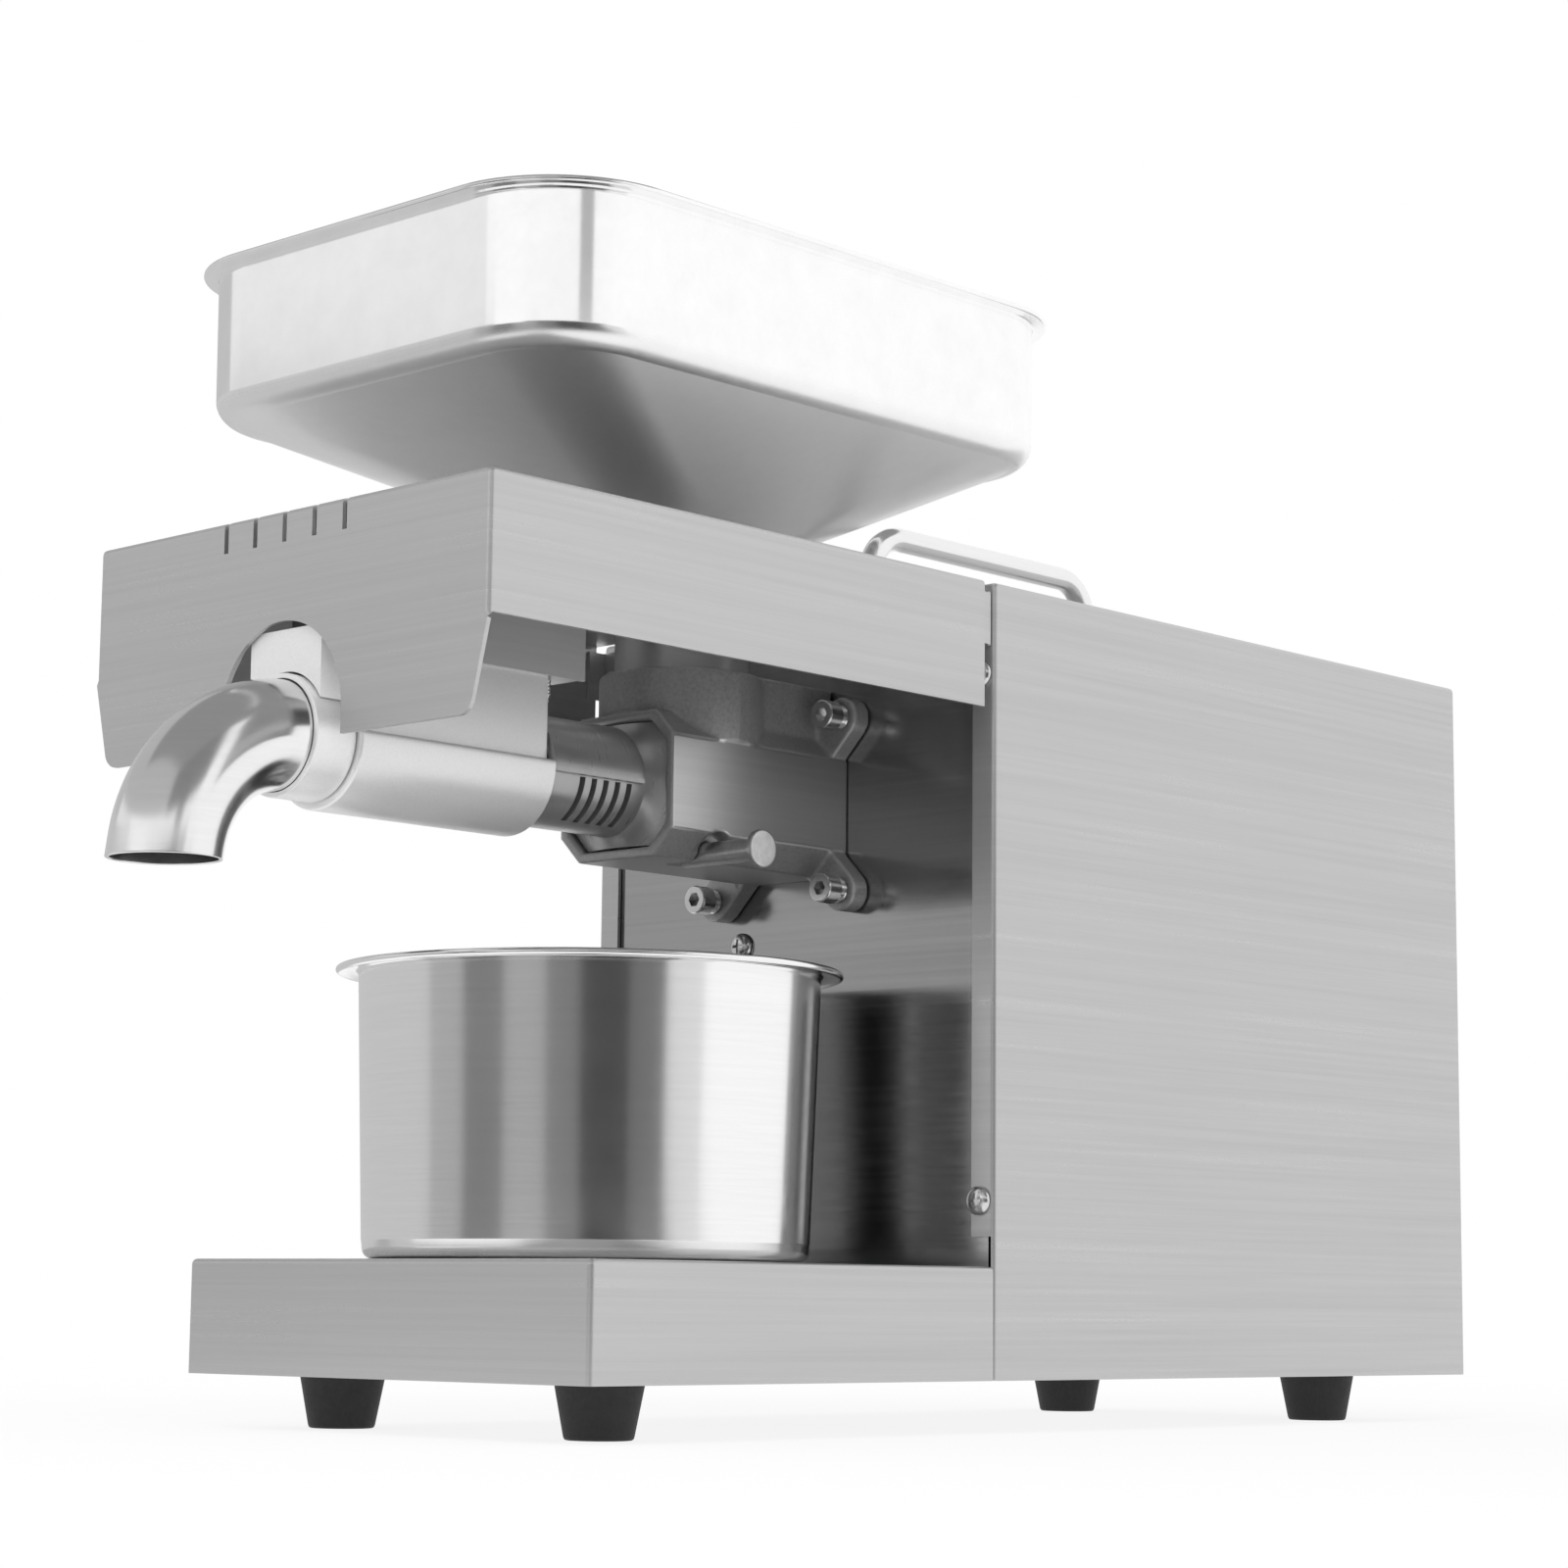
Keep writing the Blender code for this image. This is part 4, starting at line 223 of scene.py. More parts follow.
def brushing_group():
    """Long fine scratches, and slow light and dark runs along them."""

    def fill(group, given, result):
        fine = noise(group, given["Vector"], given["Density"], 4.0, 0.7)
        slow = noise(group, given["Vector"], maths(group, "MULTIPLY", given["Density"], 0.11), 2.0)
        group.links.new(spread(group, weighed(group, fine, 0.72, slow), 0.34, 0.66), result["Lines"])
        group.links.new(fine, result["Height"])

    return shader_group(
        "Brushing",
        [("Vector", "NodeSocketVector"), ("Density", "NodeSocketFloat")],
        [("Lines", "NodeSocketFloat"), ("Height", "NodeSocketFloat")],
        fill,
    )


def handling_group():
    """Faint cloudy differences of polish, as left by wiping and handling."""

    def fill(group, given, result):
        wide = noise(group, given["Vector"], given["Scale"], 3.0)
        small = noise(group, given["Vector"], maths(group, "MULTIPLY", given["Scale"], 9.0), 5.0, 0.65)
        group.links.new(spread(group, weighed(group, wide, 0.65, small), 0.3, 0.7), result["Cloud"])

    return shader_group(
        "Handling",
        [("Vector", "NodeSocketVector"), ("Scale", "NodeSocketFloat")],
        [("Cloud", "NodeSocketFloat")],
        fill,
    )


def edge_highlight_group():
    """A mask of the convex corners, in broken patches, that are painted lighter: a painted edge highlight."""

    def fill(group, given, result):
        shape = add_node(group, "ShaderNodeNewGeometry").outputs["Pointiness"]
        broken = noise(group, given["Vector"], 240.0, 4.0)
        edge = spread(group, shape, 0.515, 0.58)
        patches = spread(group, broken, 0.35, 0.6, 0.35, 1.0)
        group.links.new(maths(group, "MULTIPLY", edge, patches, True), result["Worn"])

    return shader_group("Edge wear", [("Vector", "NodeSocketVector")], [("Worn", "NodeSocketFloat")], fill)


def grain_group():
    """The sand-cast skin: small pits over a soft unevenness."""

    def fill(group, given, result):
        pits = noise(group, given["Vector"], given["Scale"], 6.0, 0.75)
        swell = noise(group, given["Vector"], maths(group, "MULTIPLY", given["Scale"], 0.12), 3.0)
        group.links.new(spread(group, pits, 0.32, 0.68), result["Speckle"])
        group.links.new(weighed(group, pits, 0.6, swell), result["Height"])

    return shader_group(
        "Cast grain",
        [("Vector", "NodeSocketVector"), ("Scale", "NodeSocketFloat")],
        [("Speckle", "NodeSocketFloat"), ("Height", "NodeSocketFloat")],
        fill,
    )


def place_group(tree, group, **values):
    made = add_node(tree, "ShaderNodeGroup", node_tree=group)
    for label, value in values.items():
        feed(tree, made.inputs[label], value)
    return made.outputs


def shade(tree, base, amount, low, high):
    """A colour from darker to lighter by a mask."""
    mix = add_node(tree, "ShaderNodeMix", data_type="RGBA")
    feed(tree, mix.inputs["Factor"], amount)
    mix.inputs[6].default_value = (*[min(1.0, c * low) for c in base], 1.0)
    mix.inputs[7].default_value = (*[min(1.0, c * high) for c in base], 1.0)
    return mix.outputs[2]


def blend_colours(tree, amount, first, second):
    mix = add_node(tree, "ShaderNodeMix", data_type="RGBA")
    feed(tree, mix.inputs["Factor"], amount)
    feed(tree, mix.inputs[6], first)
    feed(tree, mix.inputs[7], second)
    return mix.outputs[2]


def bump(tree, height, strength, distance):
    made = add_node(tree, "ShaderNodeBump")
    made.inputs["Strength"].default_value = strength
    made.inputs["Distance"].default_value = distance
    feed(tree, made.inputs["Height"], height)
    return made.outputs["Normal"]


FINISHES = {}


def new_finish(name, metallic, roughness=0.5):
    """Makes a material and lists it by its name. Returns its node tree and its shader."""
    finish = bpy.data.materials.new(name)
    finish.use_nodes = True
    shader = finish.node_tree.nodes["Principled BSDF"]
    shader.inputs["Metallic"].default_value = metallic
    shader.inputs["Roughness"].default_value = roughness
    FINISHES[name] = finish
    return finish.node_tree, shader


def dress(tree, shader, tint, rough, relief, strength, distance):
    """Feeds a finish's colour, roughness and relief to its shader."""
    feed(tree, shader.inputs["Base Color"], tint)
    feed(tree, shader.inputs["Roughness"], rough)
    feed(tree, shader.inputs["Normal"], bump(tree, relief, strength, distance))


def brushing(tree, vector, density=1.0):
    return place_group(tree, brushing_group(), Vector=vector, Density=density)


def clouds(tree, scale):
    return place_group(tree, handling_group(), Vector=stretched(tree), Scale=scale)["Cloud"]


def cast_grain(tree, scale):
    return place_group(tree, grain_group(), Vector=stretched(tree), Scale=scale)


def painted_edge_highlight(tree, share):
    # Convex corners painted lighter by a share: a painted edge highlight.
    lit_edges = place_group(tree, edge_highlight_group(), Vector=stretched(tree))["Worn"]
    return maths(tree, "MULTIPLY", lit_edges, share)


def by_slope(tree, upright, level):
    """One vector on upright faces and another on level ones, told apart by the face's own direction."""
    slope = part_of(tree, add_node(tree, "ShaderNodeNewGeometry").outputs["True Normal"], "Z")
    mix = add_node(tree, "ShaderNodeMix", data_type="VECTOR")
    feed(tree, mix.inputs[0], maths(tree, "GREATER_THAN", maths(tree, "ABSOLUTE", slope), 0.7))
    feed(tree, mix.inputs[4], upright)
    feed(tree, mix.inputs[5], level)
    return mix.outputs[1]


def brushed_finish(name, base, roughness, stretch, contrast, relief, metallic=1.0, level=None):
    """Steel with brush lines that run along the direction of the smallest stretch. Level faces of
    folded sheet may have a stretch of their own."""
    tree, shader = new_finish(name, metallic)
    where = stretched(tree, stretch)
    if level:
        where = by_slope(tree, where, stretched(tree, level))
    lines = brushing(tree, where)
    tint = shade(tree, base, lines["Lines"], 1 - contrast, 1 + contrast)
    rough = spread(tree, lines["Lines"], 0, 1, roughness + 0.05, roughness - 0.04)
    rough = maths(tree, "ADD", rough, spread(tree, clouds(tree, 14.0), 0, 1, -0.02, 0.03))
    dress(tree, shader, tint, rough, lines["Height"], relief, 0.00006)


def polished_finish(name, base, roughness, stretch, cloud_scale=11.0, matt_below=None):
    """Steel polished after forming: faint lines, and a sheen that varies a little and may end at a height."""
    tree, shader = new_finish(name, 1.0)
    lines = brushing(tree, stretched(tree, stretch))
    rough = spread(tree, clouds(tree, cloud_scale), 0, 1, roughness - 0.02, roughness + 0.04)
    if matt_below:
        height = part_of(tree, stretched(tree), "Z")
        rough = maths(tree, "ADD", rough, spread(tree, height, matt_below, matt_below + 0.0030, 0.20, 0.0))
    tint = shade(tree, base, lines["Lines"], 0.97, 1.02)
    dress(tree, shader, tint, rough, lines["Height"], 0.10, 0.00003)


def casting_finish():
    """Dark grey casting whose right and left flats are machined lighter."""
    tree, shader = new_finish("grey_casting", 0.5)
    vector = stretched(tree)
    grain = cast_grain(tree, 900.0)
    rough_skin = shade(tree, colours().casting, grain["Speckle"], 0.82, 1.20)
    # The cast skin's convex edges are painted towards the machined colour: a painted edge highlight.
    rough_skin = blend_colours(tree, painted_edge_highlight(tree, 0.7), rough_skin, (*colours().machined, 1))
    across = maths(tree, "ABSOLUTE", part_of(tree, vector, "X"))
    height = maths(tree, "ABSOLUTE", maths(tree, "SUBTRACT", part_of(tree, vector, "Z"), AXIS))
    flat = maths(tree, "GREATER_THAN", across, CHAMBER_FLAT - 0.0004)
    flat = maths(tree, "MULTIPLY", flat, maths(tree, "LESS_THAN", height, CHAMBER_FLAT_HEIGHT + 0.0003))
    milling = brushing(tree, stretched(tree, (5, 5, 620)))
    milled = shade(tree, colours().machined, milling["Lines"], 0.94, 1.05)
    feed(tree, shader.inputs["Metallic"], spread(tree, flat, 0, 1, 0.5, 0.85))
    cast = maths(tree, "SUBTRACT", 1.0, flat)
    rough = maths(tree, "MULTIPLY", spread(tree, grain["Speckle"], 0, 1, 0.06, 0.18), cast)
    rough = maths(tree, "ADD", rough, 0.28)
    relief = maths(tree, "MULTIPLY", grain["Height"], cast)
    dress(tree, shader, blend_colours(tree, flat, rough_skin, milled), rough, relief, 0.35, 0.00012)


def satin_aluminium_finish():
    tree, shader = new_finish("satin_aluminium", 0.45)
    grain = cast_grain(tree, 1500.0)
    tint = shade(tree, colours().aluminium, grain["Speckle"], 0.95, 1.04)
    rough = spread(tree, clouds(tree, 30.0), 0, 1, 0.32, 0.40)
    dress(tree, shader, tint, rough, grain["Height"], 0.15, 0.00004)


def moulded_finish(name, base, roughness, scale, relief, coat=0.0):
    """Rubber, plastic and paint: a fine moulded or sprayed surface."""
    tree, shader = new_finish(name, 0.0)
    grain = cast_grain(tree, scale)
    body = shade(tree, base, clouds(tree, 40.0), 0.85, 1.25)
    # Convex edges are painted a little lighter: a painted edge highlight.
    tint = blend_colours(tree, painted_edge_highlight(tree, 0.25), body, (*[c + 0.05 for c in base], 1))
    rough = spread(tree, grain["Speckle"], 0, 1, roughness - 0.05, roughness + 0.08)
    dress(tree, shader, tint, rough, grain["Height"], relief, 0.0001)
    shader.inputs["Coat Weight"].default_value = coat


def board_finish():
    tree, shader = new_finish("board_green", 0.0, 0.45)
    tracks = brushing(tree, stretched(tree, (60, 400, 60)), 3.0)
    feed(tree, shader.inputs["Base Color"], shade(tree, (0.03, 0.16, 0.07), tracks["Lines"], 0.7, 1.4))


def make_finishes():
    tone = colours()
    brushed_finish("brushed_steel", tone.sheet_steel, 0.30, (5, 5, 620), 0.05, 0.10, 0.75, (620, 5, 5))
    brushed_finish("panel_steel", tone.panel_steel, 0.16, (4, 600, 520), 0.06, 0.12)
    brushed_finish("dull_steel", tone.dull_steel, 0.36, (5, 5, 400), 0.05, 0.15, 0.4, (400, 5, 5))
    brushed_finish("bright_steel", tone.bright_steel, 0.20, (900, 900, 900), 0.06, 0.15)
    brushed_finish("gear_steel", (0.36,) * 3, 0.34, (700, 60, 700), 0.10, 0.3)
    brushed_finish("cage_steel", (0.44,) * 3, 0.30, (30, 500, 30), 0.03, 0.02, metallic=0.7)
    brushed_finish("zinc_plate", (0.50, 0.51, 0.52), 0.42, (120, 120, 120), 0.10, 0.2)
    polished_finish("polished_steel", tone.polished_steel, 0.17, (25, 25, 700))
    polished_finish("pot_steel", (0.93,) * 3, 0.15, (25, 25, 900), 9.0)
    polished_finish("hopper_steel", tone.hopper_steel, 0.13, (90, 90, 90), 16.0, HOPPER_FOOT - 0.0025)
    brushed_finish("pin_steel", (0.62,) * 3, 0.38, (500, 500, 500), 0.10, 0.3)
    brushed_finish("cast_aluminium", (0.52,) * 3, 0.52, (260, 260, 260), 0.10, 0.5)
    casting_finish()
    satin_aluminium_finish()
    moulded_finish("black_rubber", tone.rubber, 0.62, 1100.0, 0.5)
    moulded_finish("black_plastic", tone.plastic, 0.42, 1600.0, 0.35)
    moulded_finish("rocker_plastic", tone.plastic, 0.20, 500.0, 0.05, 0.3)
    moulded_finish("motor_paint", (0.03,) * 3, 0.38, 700.0, 0.2, 0.2)
    board_finish()


# Modelling


def clear_selection():
    if bpy.context.mode != "OBJECT":
        bpy.ops.object.mode_set(mode="OBJECT")
    bpy.ops.object.select_all(action="DESELECT")


def pick(*pieces):
    clear_selection()
    for piece in pieces:
        piece.select_set(True)
    bpy.context.view_layer.objects.active = pieces[0]


def edit(piece, mode="VERT"):
    pick(piece)
    bpy.ops.object.mode_set(mode="EDIT")
    bpy.ops.mesh.select_mode(type=mode)
    bpy.ops.mesh.select_all(action="DESELECT")


def leave():
    bpy.ops.object.mode_set(mode="OBJECT")


def choose(piece, kind, test):
    """Selects the vertices, edges or faces of a piece in edit mode that pass a test."""
    mesh = bmesh.from_edit_mesh(piece.data)
    for item in getattr(mesh, kind):
        if test(item):
            item.select_set(True)
    bmesh.update_edit_mesh(piece.data)


def apply_modifiers(piece):
    pick(piece)
    for modifier in list(piece.modifiers):
        bpy.ops.object.modifier_apply(modifier=modifier.name)


def smooth(piece, degrees=30):
    """Shades a piece smooth up to an angle. Its large faces stay flat beside narrow bends."""
    pick(piece)
    bpy.ops.object.shade_smooth_by_angle(angle=math.radians(degrees))
    even = piece.modifiers.new("Even", "WEIGHTED_NORMAL")
    even.mode = "FACE_AREA"
    even.weight = 50
    even.keep_sharp = True
    apply_modifiers(piece)


def tidy_faces(piece, distance=0.000002):
    """Merges doubled points and turns all faces outwards."""
    edit(piece)
    bpy.ops.mesh.select_all(action="SELECT")
    bpy.ops.mesh.remove_doubles(threshold=distance)
    bpy.ops.mesh.normals_make_consistent(inside=False)
    leave()


def solidify(piece, thickness):
    wall = piece.modifiers.new("Wall", "SOLIDIFY")
    wall.thickness = thickness
    wall.offset = -1
    wall.use_even_offset = True


def bevel(piece, width, segments=3, angle=35):
    edge = piece.modifiers.new("Edges", "BEVEL")
    edge.width = width
    edge.segments = segments
    edge.limit_method = "ANGLE"
    edge.angle_limit = math.radians(angle)
    edge.harden_normals = False


def boolean(piece, operation, *others):
    for other in others:
        step = piece.modifiers.new(operation.title(), "BOOLEAN")
        step.operation = operation
        step.solver = "EXACT"
        step.object = other
        apply_modifiers(piece)
        bpy.data.objects.remove(other, do_unlink=True)


def cut(piece, *others):
    boolean(piece, "DIFFERENCE", *others)


def join(piece, *others):
    boolean(piece, "UNION", *others)


def block(name, low, high):
    clear_selection()
    middle = [(a + b) / 2 for a, b in zip(low, high)]
    size = [b - a for a, b in zip(low, high)]
    bpy.ops.mesh.primitive_cube_add(size=1.0, location=middle, scale=size)
    piece = bpy.context.object
    piece.name = name
    bpy.ops.object.transform_apply(location=True, rotation=True, scale=True)
    return piece


def ring(name, points):
    """A closed ring of edges through the points."""
    clear_selection()
    bpy.ops.mesh.primitive_circle_add(vertices=len(points), radius=0.01, fill_type="NOTHING")
    piece = bpy.context.object
    piece.name = name
    for vertex, point in zip(piece.data.vertices, points):
        vertex.co = point
    return piece


SPOTS = {
    "X": lambda a, b, h: (h, a, b),
    "Y": lambda a, b, h: (a, h, b),
    "Z": lambda a, b, h: (a, b, h),
}


def prism(name, axis, outline, low, high, place=(0, 0, 0)):
    """An outline across the axis, extruded from low to high along it."""
    spot = SPOTS[axis]
    piece = ring(name, [Vector(spot(a, b, low)) + Vector(place) for a, b in outline])
    edit(piece)
    bpy.ops.mesh.select_all(action="SELECT")
    bpy.ops.mesh.edge_face_add()
    bpy.ops.mesh.extrude_region_move(TRANSFORM_OT_translate={"value": spot(0, 0, high - low)})
    bpy.ops.mesh.select_all(action="SELECT")
    bpy.ops.mesh.normals_make_consistent(inside=False)
    leave()
    return piece


def turned(name, axis, profile, place=(0, 0, 0), closed=True, steps=None):
    """A profile of radius and height, spun once round the axis. An open one ends on the axis."""
    spot = {
        "X": lambda r, h: (h, r, 0),
        "Y": lambda r, h: (r, h, 0),
        "Z": lambda r, h: (r, 0, h),
    }[axis]
    piece = ring(name, [Vector(spot(r, h)) + Vector(place) for r, h in profile])
    edit(piece, "EDGE")
    if not closed:
        last = len(profile) - 1
        choose(piece, "edges", lambda e: {v.index for v in e.verts} == {0, last})
        bpy.ops.mesh.delete(type="EDGE")
    bpy.ops.mesh.select_all(action="SELECT")
    direction = SPOTS[axis](0, 0, 1)
    count = steps or sizes().round_steps
    bpy.ops.mesh.spin(steps=count, angle=math.tau, center=place, axis=direction)
    leave()
    tidy_faces(piece)
    return piece


def steps_of(start, end, count):
    """Angles in radians from start to end, which are given in degrees."""
    return [math.radians(start + (end - start) * i / count) for i in range(count + 1)]


def arc(centre, radius, start, end, steps):
    x, y = centre
    return [(x + radius * math.cos(a), y + radius * math.sin(a)) for a in steps_of(start, end, steps)]


def rounded_edge(radius, height, bend, start, end, count, up=1):
    """A profile's rounded edge, which touches a radius and a height. Down is an up of minus 1."""
    return [
        (radius - bend + bend * math.sin(a), height - up * bend + up * bend * math.cos(a))
        for a in steps_of(start, end, count)
    ]


def disc(name, axis, radius, low, high, place=(0, 0, 0), steps=64):
    return prism(name, axis, arc((0, 0), radius, 0, 360 * (steps - 1) / steps, steps - 1), low, high, place)


def skin(name, rings, closed=False):
    """Grows a surface from ring to ring: each is extruded and its points are moved to the next."""
    piece = ring(name, rings[0])
    edit(piece, "EDGE")
    bpy.ops.mesh.select_all(action="SELECT")
    for before, after in zip(rings, rings[1:] + (rings[:1] if closed else [])):
        bpy.ops.mesh.extrude_edges_move()
        mesh = bmesh.from_edit_mesh(piece.data)
        spots = [Vector(spot) for spot in before]
        for vertex in mesh.verts:
            if vertex.select:
                nearest = min(range(len(spots)), key=lambda i: (spots[i] - vertex.co).length_squared)
                vertex.co = after[nearest]
        bmesh.update_edit_mesh(piece.data)
    leave()
    tidy_faces(piece)
    return piece


def open_box(name, low, high, missing):
    """A box's outer skin without the named sides."""
    piece = block(name, low, high)
    edit(piece, "FACE")
    for side in missing:
        want = Vector([(1 if side[0] == "+" else -1) * (side[1] == letter) for letter in "XYZ"])
        choose(piece, "faces", lambda f: f.normal.dot(want) > 0.99)
    bpy.ops.mesh.delete(type="FACE")
    leave()
    return piece


def fold(piece):
    """Rounds a skin's folds and gives it the sheet's thickness, inwards."""
    bevel(piece, sizes().bend, sizes().bend_steps)
    solidify(piece, sizes().sheet)
    apply_modifiers(piece)


def copy_of(node, name):
    """A merged copy of a CAD node, to be finished by hand."""
    clear_selection()
    source = frame["nodes"][node]
    piece = bpy.data.objects.new(name, source.data.copy())
    bpy.context.scene.collection.objects.link(piece)
    for key in [k for k in piece.keys() if k.startswith("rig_")]:
        del piece[key]
    edit(piece)
    bpy.ops.mesh.select_all(action="SELECT")
    bpy.ops.mesh.remove_doubles(threshold=0.000004)
    leave()
    return piece


def copy_piece(piece, name, shift):
    """A second piece like the first, with its own mesh."""
    twin = bpy.data.objects.new(name, piece.data.copy())
    bpy.context.scene.collection.objects.link(twin)
    twin.data.transform(Matrix.Translation(shift))
    return twin


def finish_piece(piece, body, slot, *nodes, look=None):
    """Gives a piece its finish, the body it rides on and the CAD nodes it stands for."""
    piece.data.materials.clear()
    piece.data.materials.append(FINISHES[look or slot])
    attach(piece, body)
    if nodes:
        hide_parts(*nodes)


def four(label, rows=("high", "low")):
    """The names of four like nodes."""
    return [f"{label}_{row}_{side}" for row in rows for side in ("left", "right")]


def centre_of(node):
    low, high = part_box(node)
    return (low + high) / 2


def repeat(piece, label, nodes, slot, look=None, degrees=30):
    """Finishes a piece that stands for the first node and gives each other node its own copy."""
    for index, node in enumerate(nodes):
        shift = centre_of(node) - centre_of(nodes[0])
        twin = copy_piece(piece, f"{label}_{index}", shift) if index else piece
        smooth(twin, degrees)
        finish_piece(twin, BODY, slot, node, look=look)


# Pieces


def make_tray():
    low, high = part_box("base_tray")
    tray = open_box("tray", low, high, ("-Z", "+Y"))
    fold(tray)
    smooth(tray)
    finish_piece(tray, BODY, "brushed_steel", "base_tray")


def make_case():
    """The wrapped case: a ring of sheet with a narrow flange round its open front and rear."""
    low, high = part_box("motor_case")
    case = block("case", low, high)
    flange = 0.0085
    for side in (-1, 1):
        edit(case, "FACE")
        choose(case, "faces", lambda f: f.normal.y * side > 0.99)
        bpy.ops.mesh.inset(thickness=flange)
        bpy.ops.mesh.delete(type="FACE")
        leave()
    edit(case, "FACE")
    choose(case, "faces", lambda f: f.calc_center_median().z < BASE + flange * 0.6)
    bpy.ops.mesh.delete(type="FACE")
    leave()
    fold(case)
    inner = HALF - sizes().sheet
    depth = CASE_FRONT + sizes().sheet + 0.001
    cut(case, block("foot_relief", (-inner, CASE_FRONT - 0.001, BASE - 0.001), (inner, depth, BASE + 0.0408)))
    front, rear = handle_legs()
    for y in (front, rear):
        cut(case, disc("handle_hole", "Z", 0.0041, TOP - 0.004, TOP + 0.002, (0, y, 0), 32))
    smooth(case)
    finish_piece(case, BODY, "brushed_steel", "motor_case")


def handle_legs():
    """Where the handle's front and rear legs stand."""
    low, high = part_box("carry_handle")
    return low.y + HANDLE_ROD, high.y - HANDLE_ROD


def make_canopy():
    """The hood over the press line: one folded sheet with an arch, slots and a hole for the funnel."""
    half, top, depth, apron = HOOD_HALF, TOP, 0.0376, 0.0634
    bottom = top - depth
    front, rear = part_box("canopy")[0].y, back(0.1544)
    hood = open_box("hood", (-half, front, bottom), (half, rear, top), ("-Z", "+Y"))
    edit(hood, "EDGE")
    choose(hood, "edges", lambda e: all(v.co.z < bottom + 1e-6 and v.co.y < front + 1e-6 for v in e.verts))
    drop = apron - depth
    bpy.ops.mesh.extrude_edges_move(TRANSFORM_OT_translate={"value": (0, 0, -drop)})
    bpy.ops.transform.resize(value=((half - 0.0064) / half, 1, 1), center_override=(0, front, top))
    bpy.ops.mesh.select_mode(type="VERT")
    bpy.ops.mesh.bevel(offset=0.004, segments=8, affect="VERTICES")
    bpy.ops.mesh.select_all(action="SELECT")
    bpy.ops.mesh.normals_make_consistent(inside=False)
    leave()
    if max(hood.data.polygons, key=lambda p: p.center.z).normal.z < 0:
        hood.data.flip_normals()
    fold(hood)
    z = BASE + 0.1755
    radius = sizes().arch_radius
    arch = arc((0, z), radius, 0, 180, 48) + [(-radius, BASE + 0.1), (radius, BASE + 0.1)]
    cut(hood, prism("arch", "Y", arch, front - 0.002, front + 0.004))
    count, width = sizes().vent_count, 0.0018
    for index in range(count):
        x = (index - (count - 1) / 2) * sizes().vent_pitch
        low = (x - width / 2, front - 0.002, top - 0.0087)
        cut(hood, block("vent", low, (x + width / 2, front + 0.0087, top + 0.002)))
    cut(hood, disc("funnel_hole", "Z", 0.023, top - 0.004, top + 0.002, (0, DRUM, 0)))
    for side in (-1, 1):
        add_lug(hood, side, rear)
    smooth(hood)
    finish_piece(hood, BODY, "brushed_steel", "canopy")


def add_lug(hood, side, rear):
    """A tab bent inwards and screwed flat to the case's front flange."""
    sheet = sizes().sheet
    outer = HOOD_HALF - sheet + 0.0001
    inner = outer - 0.0085
    low, high = BASE + 0.2125, BASE + 0.2285
    foot_rear = CASE_FRONT - GAP
    foot_front = foot_rear - sheet
    inset = sheet / 4
    spans = [
        ((inner, foot_front, low), (outer - inset, foot_rear, high)),
        ((outer - sheet, rear - 0.004, low + inset), (outer, foot_rear - inset, high - inset)),
    ]
    for start, end in spans:
        xs = sorted((side * start[0], side * end[0]))
        join(hood, block("lug", (xs[0], *start[1:]), (xs[1], *end[1:])))


def make_bracket():
    low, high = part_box("jacket_bracket")
    channel = open_box("bracket", low, high, ("-Z", "-Y", "+Y"))
    fold(channel)
    tab_low = (low.x + 0.0006, back(0.0450), low.z + 0.0004)
    join(channel, block("tab", tab_low, (high.x - 0.0006, high.y - 0.0005, low.z + 0.0016)))
    smooth(channel)
    finish_piece(channel, BODY, "dull_steel", "jacket_bracket")


def make_jacket():
    """The clamp-on heater block: a half round below, square above, bored for the barrel."""
    radius, half, top, ledge = 0.0188, 0.0148, 0.0290, 0.0014
    turn = math.degrees(math.asin(ledge / radius))
    outline = arc((0, 0), radius, -180 - turn, turn, 72)
    outline += [(half, ledge), (half, top), (-half, top), (-half, ledge)]
    front, rear = back(-0.0265), JACKET_REAR
    jacket = prism("jacket", "Y", outline, front, rear, (0, 0, AXIS))
    bevel(jacket, 0.0012, 3, 50)
    apply_modifiers(jacket)
    hood = front - 0.0116
    join(jacket, block("jacket_front", (-half, hood, AXIS + 0.0084), (half, front + 0.0040, AXIS + top)))
    cut(
        jacket,
        disc("bore", "Y", 0.0131, hood - 0.002, rear + 0.002, (0, 0, AXIS)),
        disc("ring_room", "Y", 0.0174, hood - 0.001, front + 0.0002, (0, 0, AXIS), 96),
    )
    for x, hole in ((-0.0060, 0.0034), (0.0075, 0.0023)):
        cut(jacket, disc("cartridge_bore", "Y", hole, back(-0.0073), rear + 0.002, (x, 0, AXIS + 0.0209), 32))
    smooth(jacket)
    finish_piece(jacket, BODY, "satin_aluminium", "heating_jacket")


def make_nozzle_ring():
    front, shoulder, rear = RING_FRONT, RING_SHOULDER, back(-0.0266)
    outer, bore, thread = 0.0168, 0.0154, 0.0131
    profile = [
        (outer - 0.0006, rear),
        (outer - 0.0002, rear - 0.0002),
        (outer, rear - 0.0006),
        (outer, front + 0.0006),
        (outer - 0.0002, front + 0.0002),
        (outer - 0.0006, front),
        (bore, front),
        (bore, shoulder),
        (thread, shoulder),
        (thread, rear),
    ]
    collar = turned("nozzle_collar", "Y", profile, (0, 0, AXIS))
    smooth(collar)
    finish_piece(collar, BODY, "satin_aluminium", "nozzle_ring")


